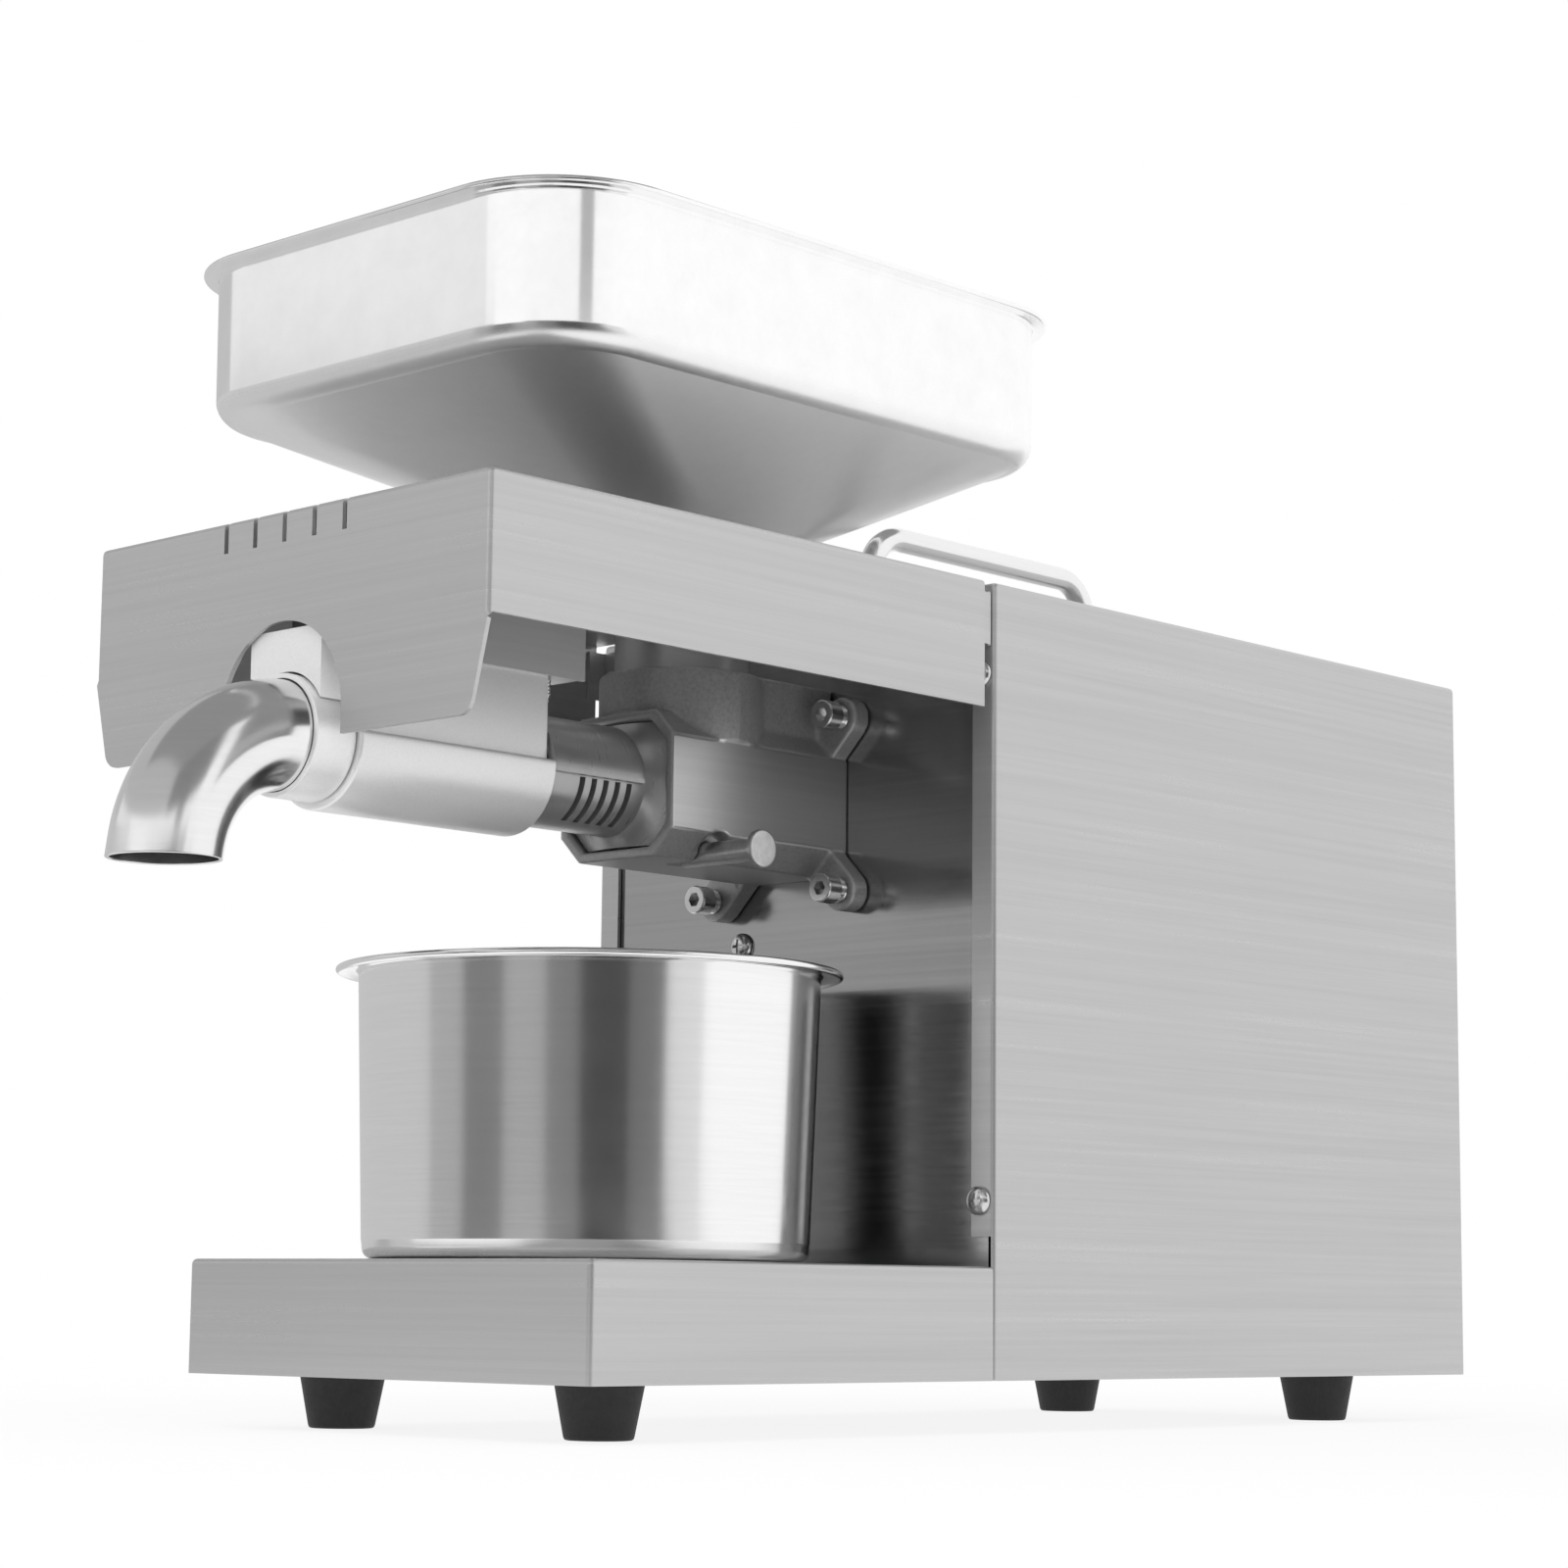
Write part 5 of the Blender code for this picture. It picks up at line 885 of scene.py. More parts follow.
def make_elbow():
    """The outlet: a tube swept round the bend with the spin tool and cut level at its mouth."""
    radius, wall, bend, angle, outlet = 0.0151, 0.0012, 0.0381, math.radians(81.5), AXIS - 0.0366
    inlet, start, sides = RING_SHOULDER - GAP, back(-0.0378), 96
    turns = [math.tau * i / sides for i in range(sides)]
    circle = [(radius * math.sin(a), inlet, AXIS + radius * math.cos(a)) for a in turns]
    tube = ring("elbow", circle)
    edit(tube, "EDGE")
    bpy.ops.mesh.select_all(action="SELECT")
    bpy.ops.mesh.extrude_edges_move(TRANSFORM_OT_translate={"value": (0, start - inlet, 0)})
    bpy.ops.mesh.spin(steps=40, angle=-angle, center=(0, start, AXIS - bend), axis=(1, 0, 0))
    run = 0.06
    along = (0, -run * math.cos(angle), -run * math.sin(angle))
    bpy.ops.mesh.extrude_edges_move(TRANSFORM_OT_translate={"value": along})
    bpy.ops.mesh.select_all(action="SELECT")
    bpy.ops.mesh.bisect(plane_co=(0, 0, outlet), plane_no=(0, 0, -1), clear_outer=True)
    leave()
    tidy_faces(tube)
    solidify(tube, wall)
    bevel(tube, 0.0003, 2, 50)
    apply_modifiers(tube)
    smooth(tube)
    finish_piece(tube, "elbow_body", "polished_steel", "outlet_elbow")


def rounded_ring(half_x, half_y, corner, middle, height, steps=20):
    spots = []
    for sign_x, sign_y, start in ((1, -1, -90), (1, 1, 0), (-1, 1, 90), (-1, -1, 180)):
        centre = (sign_x * (half_x - corner), middle + sign_y * (half_y - corner))
        spots += [(x, y, height) for x, y in arc(centre, corner, start, start + 90, steps)]
    return spots


def make_hopper():
    """The stamped pan with its rolled rim, the funnel below it and the neck."""
    low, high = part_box("hopper")
    rim, lip, roll, bend, sheet, draft = high.z, 0.0044, 0.0008, 0.0070, 0.0009, 0.0003
    half_x, half_y, corner = high.x - lip, (high.y - low.y) / 2 - lip, sizes().hopper_corner
    middle, foot, depth = (low.y + high.y) / 2, HOPPER_FOOT, bend * 0.85
    neck_top, neck_foot, neck_radius = BASE + 0.2400, low.z, 0.0200
    neck_bore, under_rim = neck_radius - sheet, rim - 2 * roll

    def pan(grow, height):
        return rounded_ring(half_x + grow, half_y + grow, corner + grow, middle, height)

    def neck(radius, height):
        return rounded_ring(radius, radius, radius, DRUM, height)

    def turn_under(inset, width, drop, start, end, count):
        """Rings round the pan's bottom edge, from its wall inwards and down."""
        return [
            pan(-inset - width * (1 - math.cos(a)), foot - drop * math.sin(a) ** 1.15)
            for a in steps_of(start, end, count)
        ]

    rings = [pan(*spot) for spot in rounded_edge(lip, rim, roll, 0, 180, 8)]
    rings += [pan(0.0010, under_rim), pan(0.0003, under_rim - 0.0003), pan(0, under_rim - 0.0010)]
    rings += [pan(-draft, foot)]
    rings += turn_under(draft, bend - draft, depth, 12, 84, 7)
    rings += [pan(-bend, foot - depth), neck(neck_radius, neck_top), neck(neck_radius, neck_foot)]
    inner = [neck(neck_bore, neck_foot), neck(neck_bore, neck_top + sheet * 0.7)]
    inner += [pan(-bend - sheet * 0.4, foot - depth + sheet * 1.1)]
    inner += turn_under(draft + sheet, bend - sheet, depth - sheet, 75, 12, 6)
    inner += [pan(-draft - sheet, foot), pan(-sheet, rim - 0.0024), pan(0.0006 - sheet, rim - 0.0003)]
    inner += [pan(0.0012 - sheet, rim)]
    hopper = skin("hopper_pan", rings + inner, closed=True)
    smooth(hopper, 28)
    finish_piece(hopper, "hopper_body", "polished_steel", "hopper", look="hopper_steel")


def make_pot():
    """The turned pot: a curled rim, a shallow step under it and a rounded foot below a narrow band."""
    low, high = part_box("oil_pot")
    top, floor, sheet, curl, flat = high.z, low.z, 0.0009, 0.0011, 0.030
    rim, wall, foot, bend, band, tuck = high.x, 0.0665, 0.0635, 0.0032, 0.0019, 0.0002
    band_top = floor + bend + band

    def corner(radius, start, end, count):
        """The rounded bottom edge, at a radius from the centre of its bend."""
        return [
            (foot - bend + radius * math.cos(a), floor + bend - radius * math.sin(a))
            for a in steps_of(start, end, count)
        ]

    outer = rounded_edge(rim, top, curl, -30, 180, 14)
    outer += [(rim - 0.0020, top - 0.0019), (rim - 0.0034, top - 0.0013), (wall + 0.0006, top - 0.0013)]
    outer += [(wall + 0.0001, top - 0.0017), (wall - 0.0001, top - 0.0026)]
    outer += [(foot + tuck + 0.0001, band_top + 0.0003), (foot + tuck, band_top)]
    outer += corner(bend, 0, 90, 10) + [(flat, floor), (0, floor)]
    inner = [(0, floor + sheet), (flat, floor + sheet)] + corner(bend - sheet, 90, 0, 8)
    inner += [(wall - sheet, top - 0.0012), (wall - sheet + 0.0005, top - 0.0003), (wall + 0.0004, top)]
    place = (0, (low.y + high.y) / 2, 0)
    pot = turned("pot", "Z", outer + inner, place, steps=sizes().round_steps * 2)
    smooth(pot)
    finish_piece(pot, "pot_body", "polished_steel", "oil_pot", look="pot_steel")


def make_handle():
    """A rod bent to a bail, its two ends through the case's top."""
    front, rear = handle_legs()
    low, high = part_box("carry_handle")
    top, bend = high.z - HANDLE_ROD, 0.0130
    path = [(front, low.z)] + arc((front + bend, top - bend), bend, 180, 90, 16)
    path += arc((rear - bend, top - bend), bend, 90, 0, 16) + [(rear, low.z)]
    clear_selection()
    curve = bpy.data.curves.new("handle", "CURVE")
    curve.dimensions = "3D"
    curve.bevel_depth = HANDLE_ROD
    curve.bevel_resolution = 12
    curve.use_fill_caps = True
    spline = curve.splines.new("POLY")
    spline.points.add(len(path) - 1)
    for point, (y, z) in zip(spline.points, path):
        point.co = (0, y, z, 1)
    handle = bpy.data.objects.new("handle", curve)
    bpy.context.scene.collection.objects.link(handle)
    pick(handle)
    bpy.ops.object.convert(target="MESH")
    handle = bpy.context.object
    tidy_faces(handle)
    smooth(handle)
    finish_piece(handle, BODY, "polished_steel", "carry_handle")


def make_chamber():
    """The cast block: the CAD solid's surface, remeshed and softened as a casting is, with milled flats."""
    low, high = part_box("chamber_block")
    casting = copy_of("chamber_block", "chamber")
    for side in (-1, 1):
        xs = sorted((side * (CHAMBER_FLAT + 0.00005), side * (CHAMBER_FLAT + 0.0040)))
        foot, head = AXIS - 0.0020, AXIS + CHAMBER_FLAT_HEIGHT - 0.0002
        cut(casting, block("drum_side", (xs[0], low.y - 0.001, foot), (xs[1], high.y - 0.0068, head)))
    skinned = casting.modifiers.new("Skin", "REMESH")
    skinned.mode = "VOXEL"
    skinned.voxel_size = sizes().casting_grain
    soft = casting.modifiers.new("Soft", "SMOOTH")
    soft.factor = 0.5
    soft.iterations = 4
    apply_modifiers(casting)
    for side in (-1, 1):
        edit(casting)
        choose(
            casting,
            "verts",
            lambda v: v.co.x * side > CHAMBER_FLAT - 0.0004 and abs(v.co.z - AXIS) < CHAMBER_FLAT_HEIGHT,
        )
        bpy.ops.transform.resize(value=(0, 1, 1), center_override=(side * CHAMBER_FLAT, 0, AXIS))
        leave()
    pick(casting)
    bpy.ops.object.shade_smooth()
    finish_piece(casting, BODY, "grey_casting", "chamber_block")


def make_barrel():
    """The barrel: a slotted cage under its crown and rib, the flared collar and the spigot behind it."""
    low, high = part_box("press_cage")
    bore, body, crown, rib, depth, spigot = 0.0110, 0.0152, 0.0170, 0.0176, 0.0013, 0.0169
    neck, nose_bore = 0.0128, 0.0082
    nose, jacket, collar, collar_rear = low.y, JACKET_REAR + GAP, back(0.0790), back(0.0995)
    profile = [
        (spigot, high.y),
        (spigot, collar_rear - 0.001),
        (body, collar + 0.002),
        (body, jacket + 0.0003),
        (body - 0.0003, jacket),
        (neck, jacket),
        (neck, nose),
        (nose_bore, nose),
        (nose_bore, nose + 0.0062),
        (bore, nose + 0.0092),
        (bore, high.y),
    ]
    cage = turned("cage", "Y", profile, (0, 0, AXIS))
    core = (body + bore) / 2
    flare = [(body - 0.001 + 0.0125 * (i / 12) ** 2.2, collar + 0.0105 * i / 12) for i in range(13)]
    inside = core - 0.0003
    disk = [(flare[-1][0], collar_rear)] + flare[::-1] + [(inside, collar + 0.0004), (inside, collar_rear)]
    disk = turned("collar", "Y", disk, (0, 0, AXIS))
    half, tall, corner = CHAMBER_FLAT - 0.0034, 0.0181, 0.0067
    sides = [(half, tall - corner), (half - corner, tall), (corner - half, tall), (-half, tall - corner)]
    sides += [(-x, -z) for x, z in sides]
    boolean(disk, "INTERSECT", prism("sides", "Y", sides, collar - 0.001, collar_rear + 0.001, (0, 0, AXIS)))
    join(cage, disk)
    outline = arc((0, 0), crown, 0, 180, 64) + [(-rib, 0), (-rib, -depth), (-core, -depth)]
    outline += arc((0, 0), core, 180, 0, 48) + [(core, -depth), (rib, -depth), (rib, 0)]
    join(cage, prism("crown", "Y", outline, jacket + GAP, collar + 0.0012, (0, 0, AXIS)))
    slots, pitch, width, first, floor = 5, 0.0046, 0.0021, 0.0580, 0.0134
    for index in range(slots):
        y = back(first + index * pitch)
        start = (-rib - 0.001, y - width / 2, AXIS - floor)
        cut(cage, block("slot", start, (rib + 0.001, y + width / 2, AXIS - depth - GAP)))
    wide, deep = 0.0100, 0.0120
    cut(
        cage,
        block("window", (-wide, DRUM - deep, AXIS + 0.004), (wide, DRUM + deep, AXIS + 0.02)),
        disc("notch", "X", 0.0037, -0.03, 0.03, (0, back(0.1060), AXIS - 0.0193), 48),
    )
    tidy_faces(cage)
    smooth(cage, 32)
    finish_piece(cage, BODY, "grey_casting", "press_cage", look="cage_steel")


def make_pin():
    low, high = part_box("lock_pin")
    middle = (low + high) / 2
    tip, head, rod, knob, thick = low.x, high.x - 0.0020, 0.0034, 0.0056, 0.0020
    profile = [(0, head + thick), (knob * 0.72, head + thick)]
    profile += rounded_edge(knob, head + thick, 0.0007, 0, 90, 6)
    profile += [(knob, head + 0.0004), (knob - 0.0004, head), (rod * 0.85, head), (rod * 0.85, head - 0.0006)]
    profile += [(rod, head - 0.0080), (rod, tip + 0.001), (rod - 0.001, tip), (0, tip)]
    pin = turned("pin", "X", profile, (0, middle.y, middle.z), closed=False, steps=64)
    smooth(pin)
    finish_piece(pin, "pin_body", "dull_steel", "lock_pin", look="pin_steel")


def make_bolts():
    """A socket head bolt with its ribbed washer, made once and copied to the block's four ears."""
    names = four("chamber_bolt")
    low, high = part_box(names[0])
    centre = centre_of(names[0])
    front, tip = low.y, high.y
    head, shank, washer, thick, rib, across_flats = 0.0044, 0.0025, 0.0037, 0.0030, 0.00028, 0.0040
    under = front + 0.0052
    seat = under + thick
    profile = [(0, front)] + rounded_edge(head, front, 0.0006, 0, 90, 5, up=-1)
    profile += [(head, under), (washer, under + 0.0001)]
    for step in range(1, 12):
        y = under + 0.0001 + (thick - 0.0002) * step / 12
        profile.append((washer - (rib if step % 2 else 0.0), y))
    profile += [(washer, seat), (shank, seat), (shank, tip), (0, tip)]
    bolt = turned("bolt_0", "Y", profile, (centre.x, 0, centre.z), closed=False, steps=60)
    key = arc((0, 0), across_flats / math.sqrt(3), 0, 300, 5)
    cut(bolt, prism("key", "Y", key, front - 0.001, front + 0.0030, (centre.x, 0, centre.z)))
    repeat(bolt, "bolt", names, "bright_steel")


def pan_screw(name, place, radius, shank, length):
    """A cross recess pan head screw that goes in towards +Y."""
    x, y, z = place
    height, end = SCREW_HEAD, y + length
    profile = [(radius * math.sin(a), y - height * math.cos(a) ** 0.75) for a in steps_of(0, 84, 10)]
    profile += [(radius, y - 0.0002), (radius - 0.0001, y), (shank, y), (shank, end), (0, end)]
    screw = turned(name, "Y", profile, (x, 0, z), closed=False, steps=48)
    arm, half, depth = radius * 0.52, radius * 0.11, height * 0.62
    for wide, tall in ((arm, half), (half, arm)):
        low = (x - wide, y - height - 0.001, z - tall)
        cut(screw, block("recess", low, (x + wide, y - height + depth, z + tall)))
    smooth(screw, 35)
    return screw


def make_case_screws():
    """The pan heads on the case's flange, the hood's lugs and the front panel."""
    for label, names, radius, shank, look in (
        ("case_screw", four("case_screw"), 0.0042, 0.0019, None),
        # The lug screws take the darker, duller plain steel as painted shade, for the shade they sit in under
        # the hood.
        ("lug_screw", ["canopy_screw_left", "canopy_screw_right"], 0.0029, 0.0014, "dull_steel"),
        ("panel_screw_head", ["panel_screw"], 0.0042, 0.0019, None),
    ):
        low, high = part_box(names[0])
        first = Vector(((low.x + high.x) / 2, low.y + SCREW_HEAD, (low.z + high.z) / 2))
        screw = pan_screw(f"{label}_0", first, radius, shank, high.y - first.y)
        repeat(screw, label, names, "bright_steel", look, 35)


def make_jacket_screw():
    low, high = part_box("jacket_screw")
    x, y = (low.x + high.x) / 2, (low.y + high.y) / 2
    height, radius, shank = SCREW_HEAD, 0.0042, 0.0019
    seat = high.z - height
    profile = [(radius * math.sin(a), seat + height * math.cos(a) ** 0.75) for a in steps_of(0, 84, 8)]
    profile += [(radius, seat), (shank, seat)]
    for turn in range(12):
        z = seat - 0.0005 - turn * 0.0005
        profile.append((shank - (0.00022 if turn % 2 else 0), z))
    profile += [(shank * 0.7, low.z), (0, low.z)]
    screw = turned("bracket_screw", "Z", profile, (x, y, 0), closed=False, steps=40)
    smooth(screw)
    finish_piece(screw, BODY, "bright_steel", "jacket_screw")


def make_feet():
    """A tapered rubber foot with a rounded sole and a screw pocket, made once and copied."""
    names = four("foot", ("front", "rear"))
    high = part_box(names[0])[1]
    centre = centre_of(names[0])
    wide, narrow, pocket, bore, roof, top = high.x - centre.x, 0.0093, 0.0056, 0.0026, 0.0070, high.z
    sole = 0.0009
    profile = [(wide - 0.0004, top), (wide, top - 0.0005), (narrow + 0.0002, 0.0011)]
    profile += [
        (narrow - 0.0008 + sole * math.cos(a), sole - sole * math.sin(a)) for a in steps_of(10, 90, 5)
    ]
    profile += [(pocket + 0.0005, 0), (pocket, 0.0005), (pocket, roof), (bore, roof), (bore, top)]
    foot = turned("rubber_foot_0", "Z", profile, (centre.x, centre.y, 0), steps=72)
    repeat(foot, "rubber_foot", names, "black_rubber")


def make_ports():
    """The inlet and the two rocker switches on the rear panel, with moulded edges."""
    for node, name in (
        ("power_inlet", "inlet"),
        ("drive_switch_housing", "drive_switch_frame"),
        ("heat_switch_housing", "heat_switch_frame"),
    ):
        piece = copy_of(node, name)
        bevel(piece, 0.0003, 2, 50)
        apply_modifiers(piece)
        smooth(piece)
        finish_piece(piece, BODY, "black_plastic", node)


def dress_cad_nodes():
    """Gives every CAD node that stays in sight its finish."""
    slots = {s["node"]: s["material_slot"] for s in frame["record"]["subparts"]}
    for name, node in frame["nodes"].items():
        node.data.materials.clear()
        node.data.materials.append(FINISHES[slots[name]])


# The studio


def seen_rays(tree):
    """1 on the rays by which the camera sees something, straight, in metal or through glass."""
    path = add_node(tree, "ShaderNodeLightPath")
    seen = maths(tree, "MAXIMUM", path.outputs["Is Camera Ray"], path.outputs["Is Glossy Ray"])
    return maths(tree, "MAXIMUM", seen, path.outputs["Is Transmission Ray"])


def make_stage():
    settings = bpy.context.scene.press_stage
    scene = bpy.context.scene
    scene.view_settings.view_transform = "Standard"
    world = bpy.data.worlds.new("Studio")
    scene.world = world
    world.use_nodes = True
    tree = world.node_tree
    light = tree.nodes["Background"]
    light.inputs["Color"].default_value = (1, 1, 1, 1)
    feed(tree, light.inputs["Strength"], spread(tree, seen_rays(tree), 0, 1, settings.room, 1.0))

    clear_selection()
    bpy.ops.mesh.primitive_plane_add(size=14, location=(0, 0, FLOOR_LEVEL - 0.0001))
    floor = bpy.context.object
    floor.name = "floor"
    tree, shader = new_finish("pale_paper", 0.0, 0.9)
    shader.inputs["Base Color"].default_value = (0.92, 0.92, 0.92, 1)
    shader.inputs["Specular IOR Level"].default_value = 0.0
    glow = add_node(tree, "ShaderNodeEmission")
    mix = add_node(tree, "ShaderNodeMixShader")
    reach = add_node(tree, "ShaderNodeVectorMath", operation="LENGTH")
    feed(tree, reach.inputs[0], add_node(tree, "ShaderNodeTexCoord").outputs["Object"])
    even = spread(tree, reach.outputs["Value"], 0.28, 1.0, 0.85, 1.0)
    feed(tree, mix.inputs[0], maths(tree, "MULTIPLY", seen_rays(tree), even))
    tree.links.new(shader.outputs[0], mix.inputs[1])
    tree.links.new(glow.outputs[0], mix.inputs[2])
    tree.links.new(mix.outputs[0], tree.nodes["Material Output"].inputs["Surface"])
    floor.data.materials.append(FINISHES["pale_paper"])

    for name, place, size, power in (
        ("key_lamp", (1.1, -1.3, 1.9), 1.3, settings.key),
        ("fill_lamp", (-1.8, -0.6, 1.2), 1.2, settings.fill),
    ):
        clear_selection()
        aim = (Vector((0, 0, 0.15)) - Vector(place)).to_track_quat("-Z", "Y").to_euler()
        bpy.ops.object.light_add(type="AREA", location=place, rotation=aim)
        lamp = bpy.context.object
        lamp.name = name
        lamp.data.size = size
        lamp.data.energy = power
        lamp.visible_glossy = False
    make_cards()


CAMERA_PLACE = Vector((0.7544, FRONT - 0.6437, BASE + 0.0221))
CAMERA_AZIMUTH = math.atan2(CAMERA_PLACE.y, CAMERA_PLACE.x)
CARD_LEVEL = 0.12
CARD_DISTANCE = 2.2
CARD_FOOT = FLOOR_LEVEL + 0.0005
FLOOR_CARDS_END = 8.5


def card_height(elevation):
    """Height at the cards' distance of an elevation in degrees."""
    return CARD_LEVEL + CARD_DISTANCE * math.tan(math.radians(elevation))


def card(name, left, right, foot, head, shade_of_grey, near=CARD_DISTANCE):
    """A curved studio card that metal reflects and the camera doesn't see.

    Its left and right ends are azimuths in degrees from the camera's side of the object, positive
    towards its right, and it stands from the height foot to the height head. A card that is given a
    shorter near distance also lies level from there out to where it stands."""
    steps = 8
    angles = [CAMERA_AZIMUTH + math.radians(left + (right - left) * i / steps) for i in range(steps + 1)]
    clear_selection()
    piece = ring(name, [(near * math.cos(a), near * math.sin(a), foot) for a in angles])
    edit(piece, "EDGE")
    choose(piece, "edges", lambda e: {v.index for v in e.verts} == {0, steps})
    bpy.ops.mesh.delete(type="EDGE")
    bpy.ops.mesh.select_all(action="SELECT")
    if near < CARD_DISTANCE:
        bpy.ops.mesh.extrude_edges_move()
        growth = CARD_DISTANCE / near
        bpy.ops.transform.resize(value=(growth, growth, 1), center_override=(0, 0, foot))
    bpy.ops.mesh.extrude_edges_move(TRANSFORM_OT_translate={"value": (0, 0, head - foot)})
    leave()
    dress_card(piece, name, shade_of_grey)


def dress_card(piece, name, shade_of_grey):
    """A card's even glow. Only reflections see it."""
    piece.name = name
    felt = bpy.data.materials.new(name)
    felt.use_nodes = True
    tree = felt.node_tree
    tree.nodes.remove(tree.nodes["Principled BSDF"])
    glow = add_node(tree, "ShaderNodeEmission")
    glow.inputs["Color"].default_value = (shade_of_grey,) * 3 + (1,)
    tree.links.new(glow.outputs[0], tree.nodes["Material Output"].inputs["Surface"])
    piece.data.materials.append(felt)
    piece.visible_camera = False
    piece.visible_diffuse = False
    piece.visible_shadow = False
    piece.visible_transmission = False


FLOOR_CARDS = (
    ("far_left", -165, -80, 0.56, 0.36),
    ("left_edge", -80, -60, 0.40, 0.46),
    ("left_dark", -60, -39, 0.19, 0.46),
    ("left_light", -39, -19, 0.38, 0.46),
    ("camera_left", -19, -3, 0.20, 0.46),
    ("camera_side", -3, 20, 0.06, 0.46),
    ("camera_right", 20, 38, 0.16, 0.46),
    ("right_edge", 38, 58, 0.72, 0.46),
)
UPPER_CARDS = (
    ("middle_left", -165, -58, 8.5, 16.7, 0.58),
    ("middle_front", -30, 28, 8.5, 14.2, 0.22),
    ("middle_right", 28, 42, 8.5, 14.2, 0.50),
    ("back_left", -165, -112, 16.7, 24, 0.52),
    ("high_left", -112, -68, 16.7, 24, 0.84),
    ("narrow", 17, 29, 16.7, 24, 0.42),
    ("upper_left", -165, -2, 24, 62, 0.48),
    ("upper_right", -2, 50, 24, 62, 0.23),
)


def make_cards():
    for name, left, right, grey, near in FLOOR_CARDS:
        card(f"card_{name}", left, right, CARD_FOOT, card_height(FLOOR_CARDS_END), grey, near)
    for name, left, right, low, high, grey in UPPER_CARDS:
        card(f"card_{name}", left, right, card_height(low), card_height(high), grey)
    clear_selection()
    bpy.ops.mesh.primitive_grid_add(x_subdivisions=3, y_subdivisions=3, size=3.2, location=(0, 0, 2.2))
    dress_card(bpy.context.object, "card_ceiling", 0.28)


def make_camera():
    settings = bpy.context.scene.press_stage
    turn, rise = math.radians(43.29), math.radians(8.10)
    towards = Vector((-math.sin(turn) * math.cos(rise), math.cos(turn) * math.cos(rise), math.sin(rise)))
    roll = Quaternion((0, 0, 1), math.radians(0.59))
    aim = (towards.to_track_quat("-Z", "Y") @ roll).to_euler()
    bpy.ops.object.camera_add(location=CAMERA_PLACE, rotation=aim)
    camera = bpy.context.object
    camera.data.sensor_width = 36
    camera.data.lens = settings.lens
    camera.data.clip_start, camera.data.clip_end = 0.01, 50
    bpy.context.scene.camera = camera


# Operators


class OIL_PRESS_OT_finishes(bpy.types.Operator):
    """Builds the procedural finishes and dresses the CAD nodes that stay in sight"""

    bl_idname = "oil_press.finishes"
    bl_label = "Finishes"
    bl_options = {"UNDO"}

    def execute(self, context):
        make_finishes()
        dress_cad_nodes()
        return {"FINISHED"}


class OIL_PRESS_OT_body(bpy.types.Operator):
    """Folds the tray, the case, the hood and the jacket's bracket from sheet"""

    bl_idname = "oil_press.body"
    bl_label = "Tray, case and hood"
    bl_options = {"UNDO"}

    def execute(self, context):
        make_tray()
        make_case()
        make_canopy()
        make_bracket()
        return {"FINISHED"}


class OIL_PRESS_OT_heater(bpy.types.Operator):
    """Shapes the heating jacket and the ring at its nozzle"""

    bl_idname = "oil_press.heater"
    bl_label = "Heating jacket"
    bl_options = {"UNDO"}

    def execute(self, context):
        make_jacket()
        make_nozzle_ring()
        return {"FINISHED"}


class OIL_PRESS_OT_barrel(bpy.types.Operator):
    """Turns the slotted barrel and casts the chamber block"""

    bl_idname = "oil_press.barrel"
    bl_label = "Barrel and chamber"
    bl_options = {"UNDO"}

    def execute(self, context):
        make_barrel()
        make_chamber()
        return {"FINISHED"}


class OIL_PRESS_OT_elbow(bpy.types.Operator):
    """Bends the polished outlet and cuts it level"""

    bl_idname = "oil_press.elbow"
    bl_label = "Outlet elbow"
    bl_options = {"UNDO"}

    def execute(self, context):
        make_elbow()
        return {"FINISHED"}


class OIL_PRESS_OT_hopper(bpy.types.Operator):
    """Stamps the hopper's pan with its funnel and neck"""

    bl_idname = "oil_press.hopper"
    bl_label = "Hopper"
    bl_options = {"UNDO"}

    def execute(self, context):
        make_hopper()
        return {"FINISHED"}


class OIL_PRESS_OT_pot(bpy.types.Operator):
    """Turns the oil pot with its rolled rim"""

    bl_idname = "oil_press.pot"
    bl_label = "Oil pot"
    bl_options = {"UNDO"}

    def execute(self, context):
        make_pot()
        return {"FINISHED"}


class OIL_PRESS_OT_handle(bpy.types.Operator):
    """Bends the carry handle"""

    bl_idname = "oil_press.handle"
    bl_label = "Handle"
    bl_options = {"UNDO"}

    def execute(self, context):
        make_handle()
        return {"FINISHED"}


class OIL_PRESS_OT_fasteners(bpy.types.Operator):
    """Places the lock pin, the block's bolts and the screws"""

    bl_idname = "oil_press.fasteners"
    bl_label = "Pin, bolts and screws"
    bl_options = {"UNDO"}

    def execute(self, context):
        make_pin()
        make_bolts()
        make_case_screws()
        make_jacket_screw()
        return {"FINISHED"}


class OIL_PRESS_OT_feet(bpy.types.Operator):
    """Moulds the rubber feet"""

    bl_idname = "oil_press.feet"
    bl_label = "Feet"
    bl_options = {"UNDO"}

    def execute(self, context):
        make_feet()
        return {"FINISHED"}


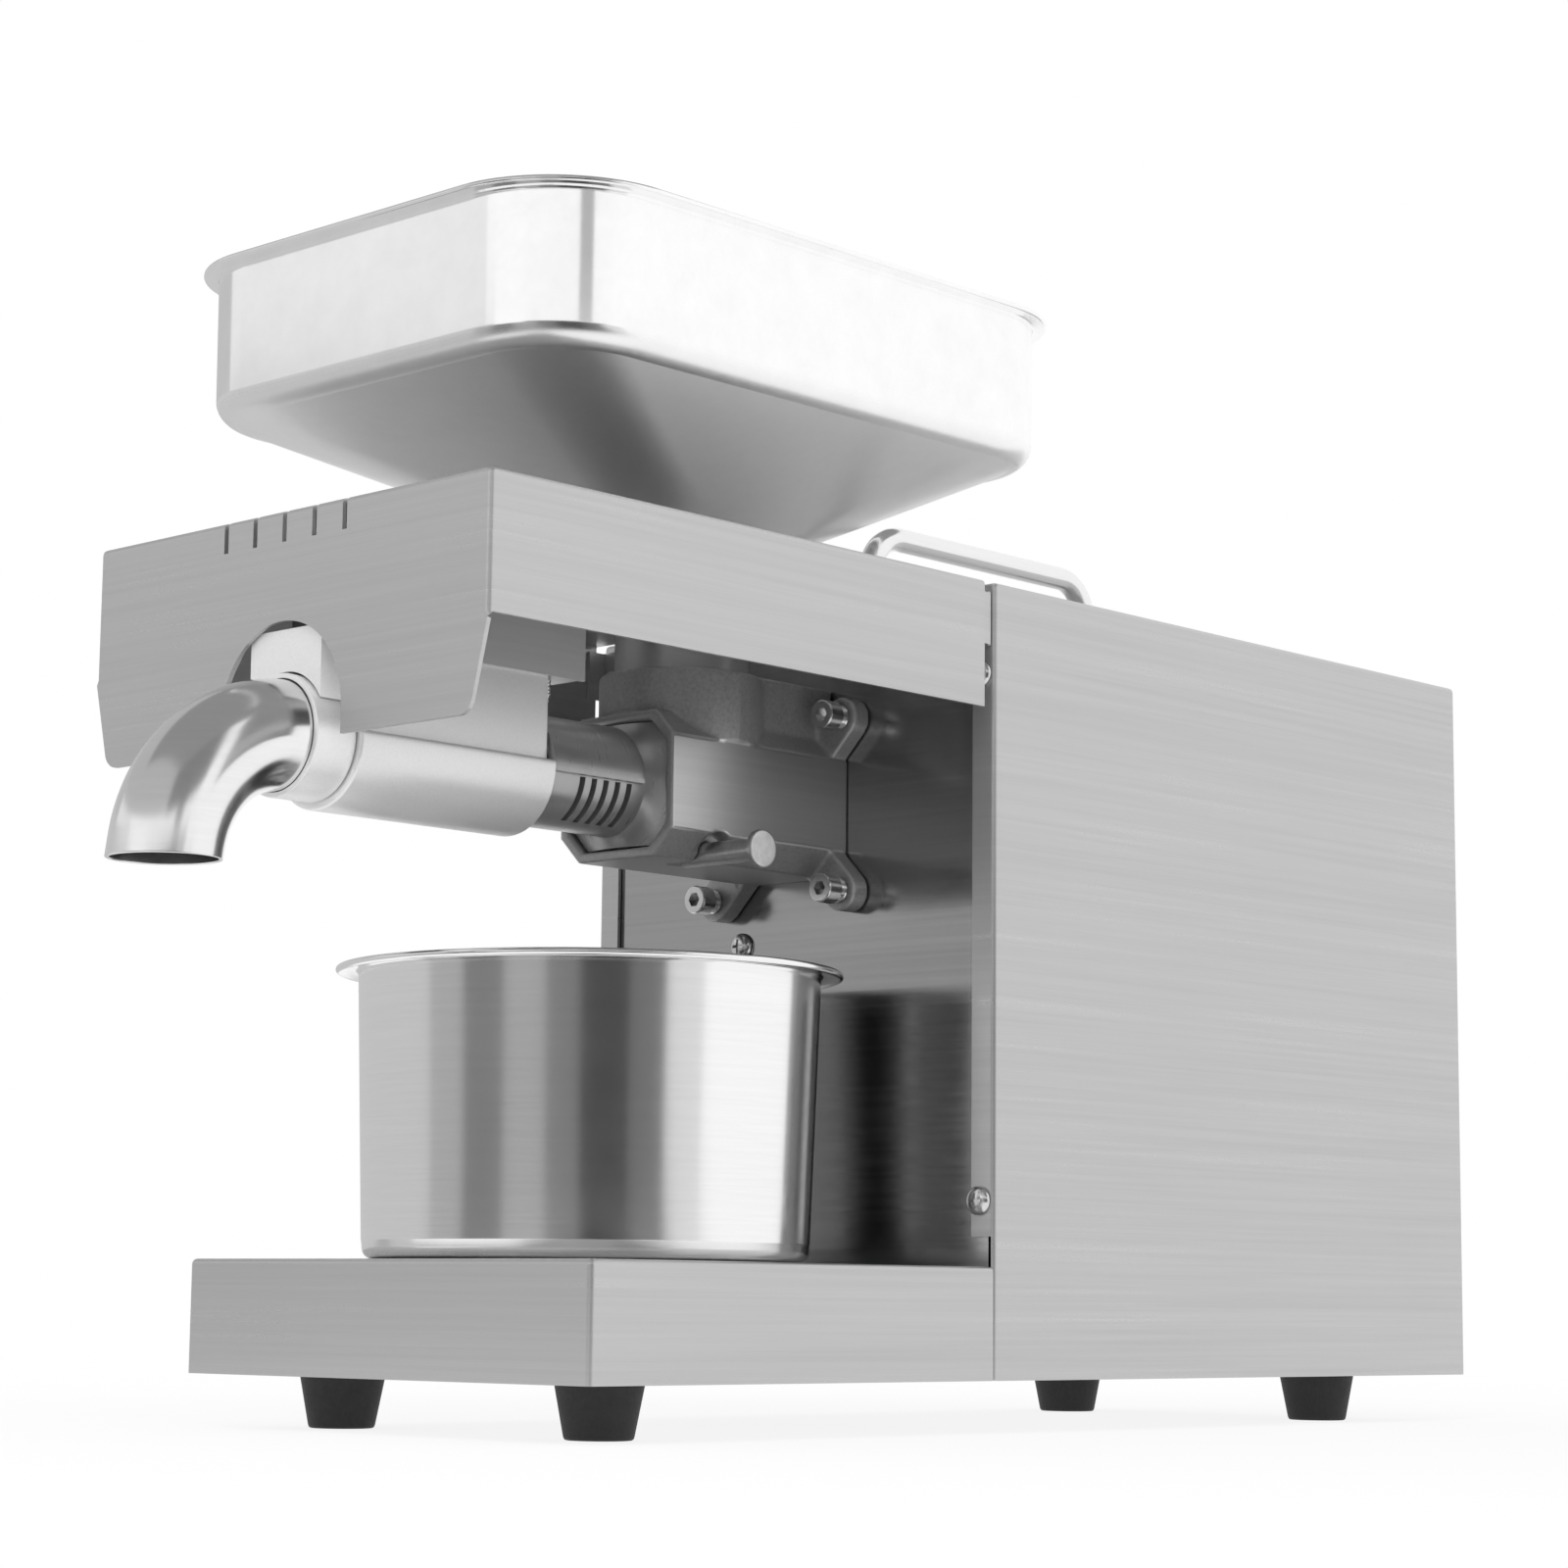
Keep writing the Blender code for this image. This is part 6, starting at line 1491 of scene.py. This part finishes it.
class OIL_PRESS_OT_ports(bpy.types.Operator):
    """Finishes the mouldings on the rear panel"""

    bl_idname = "oil_press.ports"
    bl_label = "Inlet and switches"
    bl_options = {"UNDO"}

    def execute(self, context):
        make_ports()
        return {"FINISHED"}


class OIL_PRESS_OT_stage(bpy.types.Operator):
    """Sets the camera, the floor, the lamps and the cards that the steel reflects"""

    bl_idname = "oil_press.stage"
    bl_label = "Studio"
    bl_options = {"UNDO"}

    def execute(self, context):
        make_camera()
        make_stage()
        return {"FINISHED"}


OPERATORS = [
    OIL_PRESS_OT_finishes,
    OIL_PRESS_OT_body,
    OIL_PRESS_OT_heater,
    OIL_PRESS_OT_barrel,
    OIL_PRESS_OT_elbow,
    OIL_PRESS_OT_hopper,
    OIL_PRESS_OT_pot,
    OIL_PRESS_OT_handle,
    OIL_PRESS_OT_fasteners,
    OIL_PRESS_OT_feet,
    OIL_PRESS_OT_ports,
    OIL_PRESS_OT_stage,
]


class OIL_PRESS_PT_panel(bpy.types.Panel):
    """Lists the press's sizes, colours and steps."""

    bl_label = "Oil Press"
    bl_idname = "OIL_PRESS_PT_panel"
    bl_space_type = "VIEW_3D"
    bl_region_type = "UI"
    bl_category = "Oil Press"

    def draw(self, context):
        layout = self.layout
        for group in (context.scene.press_sizes, context.scene.press_colours, context.scene.press_stage):
            column = layout.box().column()
            for key in group.__annotations__:
                column.prop(group, key)
        column = layout.column()
        for kind in OPERATORS:
            column.operator(kind.bl_idname)


CLASSES = [PressSizes, PressColours, StageSettings, *OPERATORS, OIL_PRESS_PT_panel]


def register():
    for kind in CLASSES:
        bpy.utils.register_class(kind)
    bpy.types.Scene.press_sizes = PointerProperty(type=PressSizes)
    bpy.types.Scene.press_colours = PointerProperty(type=PressColours)
    bpy.types.Scene.press_stage = PointerProperty(type=StageSettings)


def unregister():
    del bpy.types.Scene.press_stage
    del bpy.types.Scene.press_colours
    del bpy.types.Scene.press_sizes
    for kind in reversed(CLASSES):
        bpy.utils.unregister_class(kind)


def main():
    register()
    for kind in OPERATORS:
        getattr(bpy.ops.oil_press, kind.bl_idname.split(".")[1])()


if __name__ == "__main__":
    main()
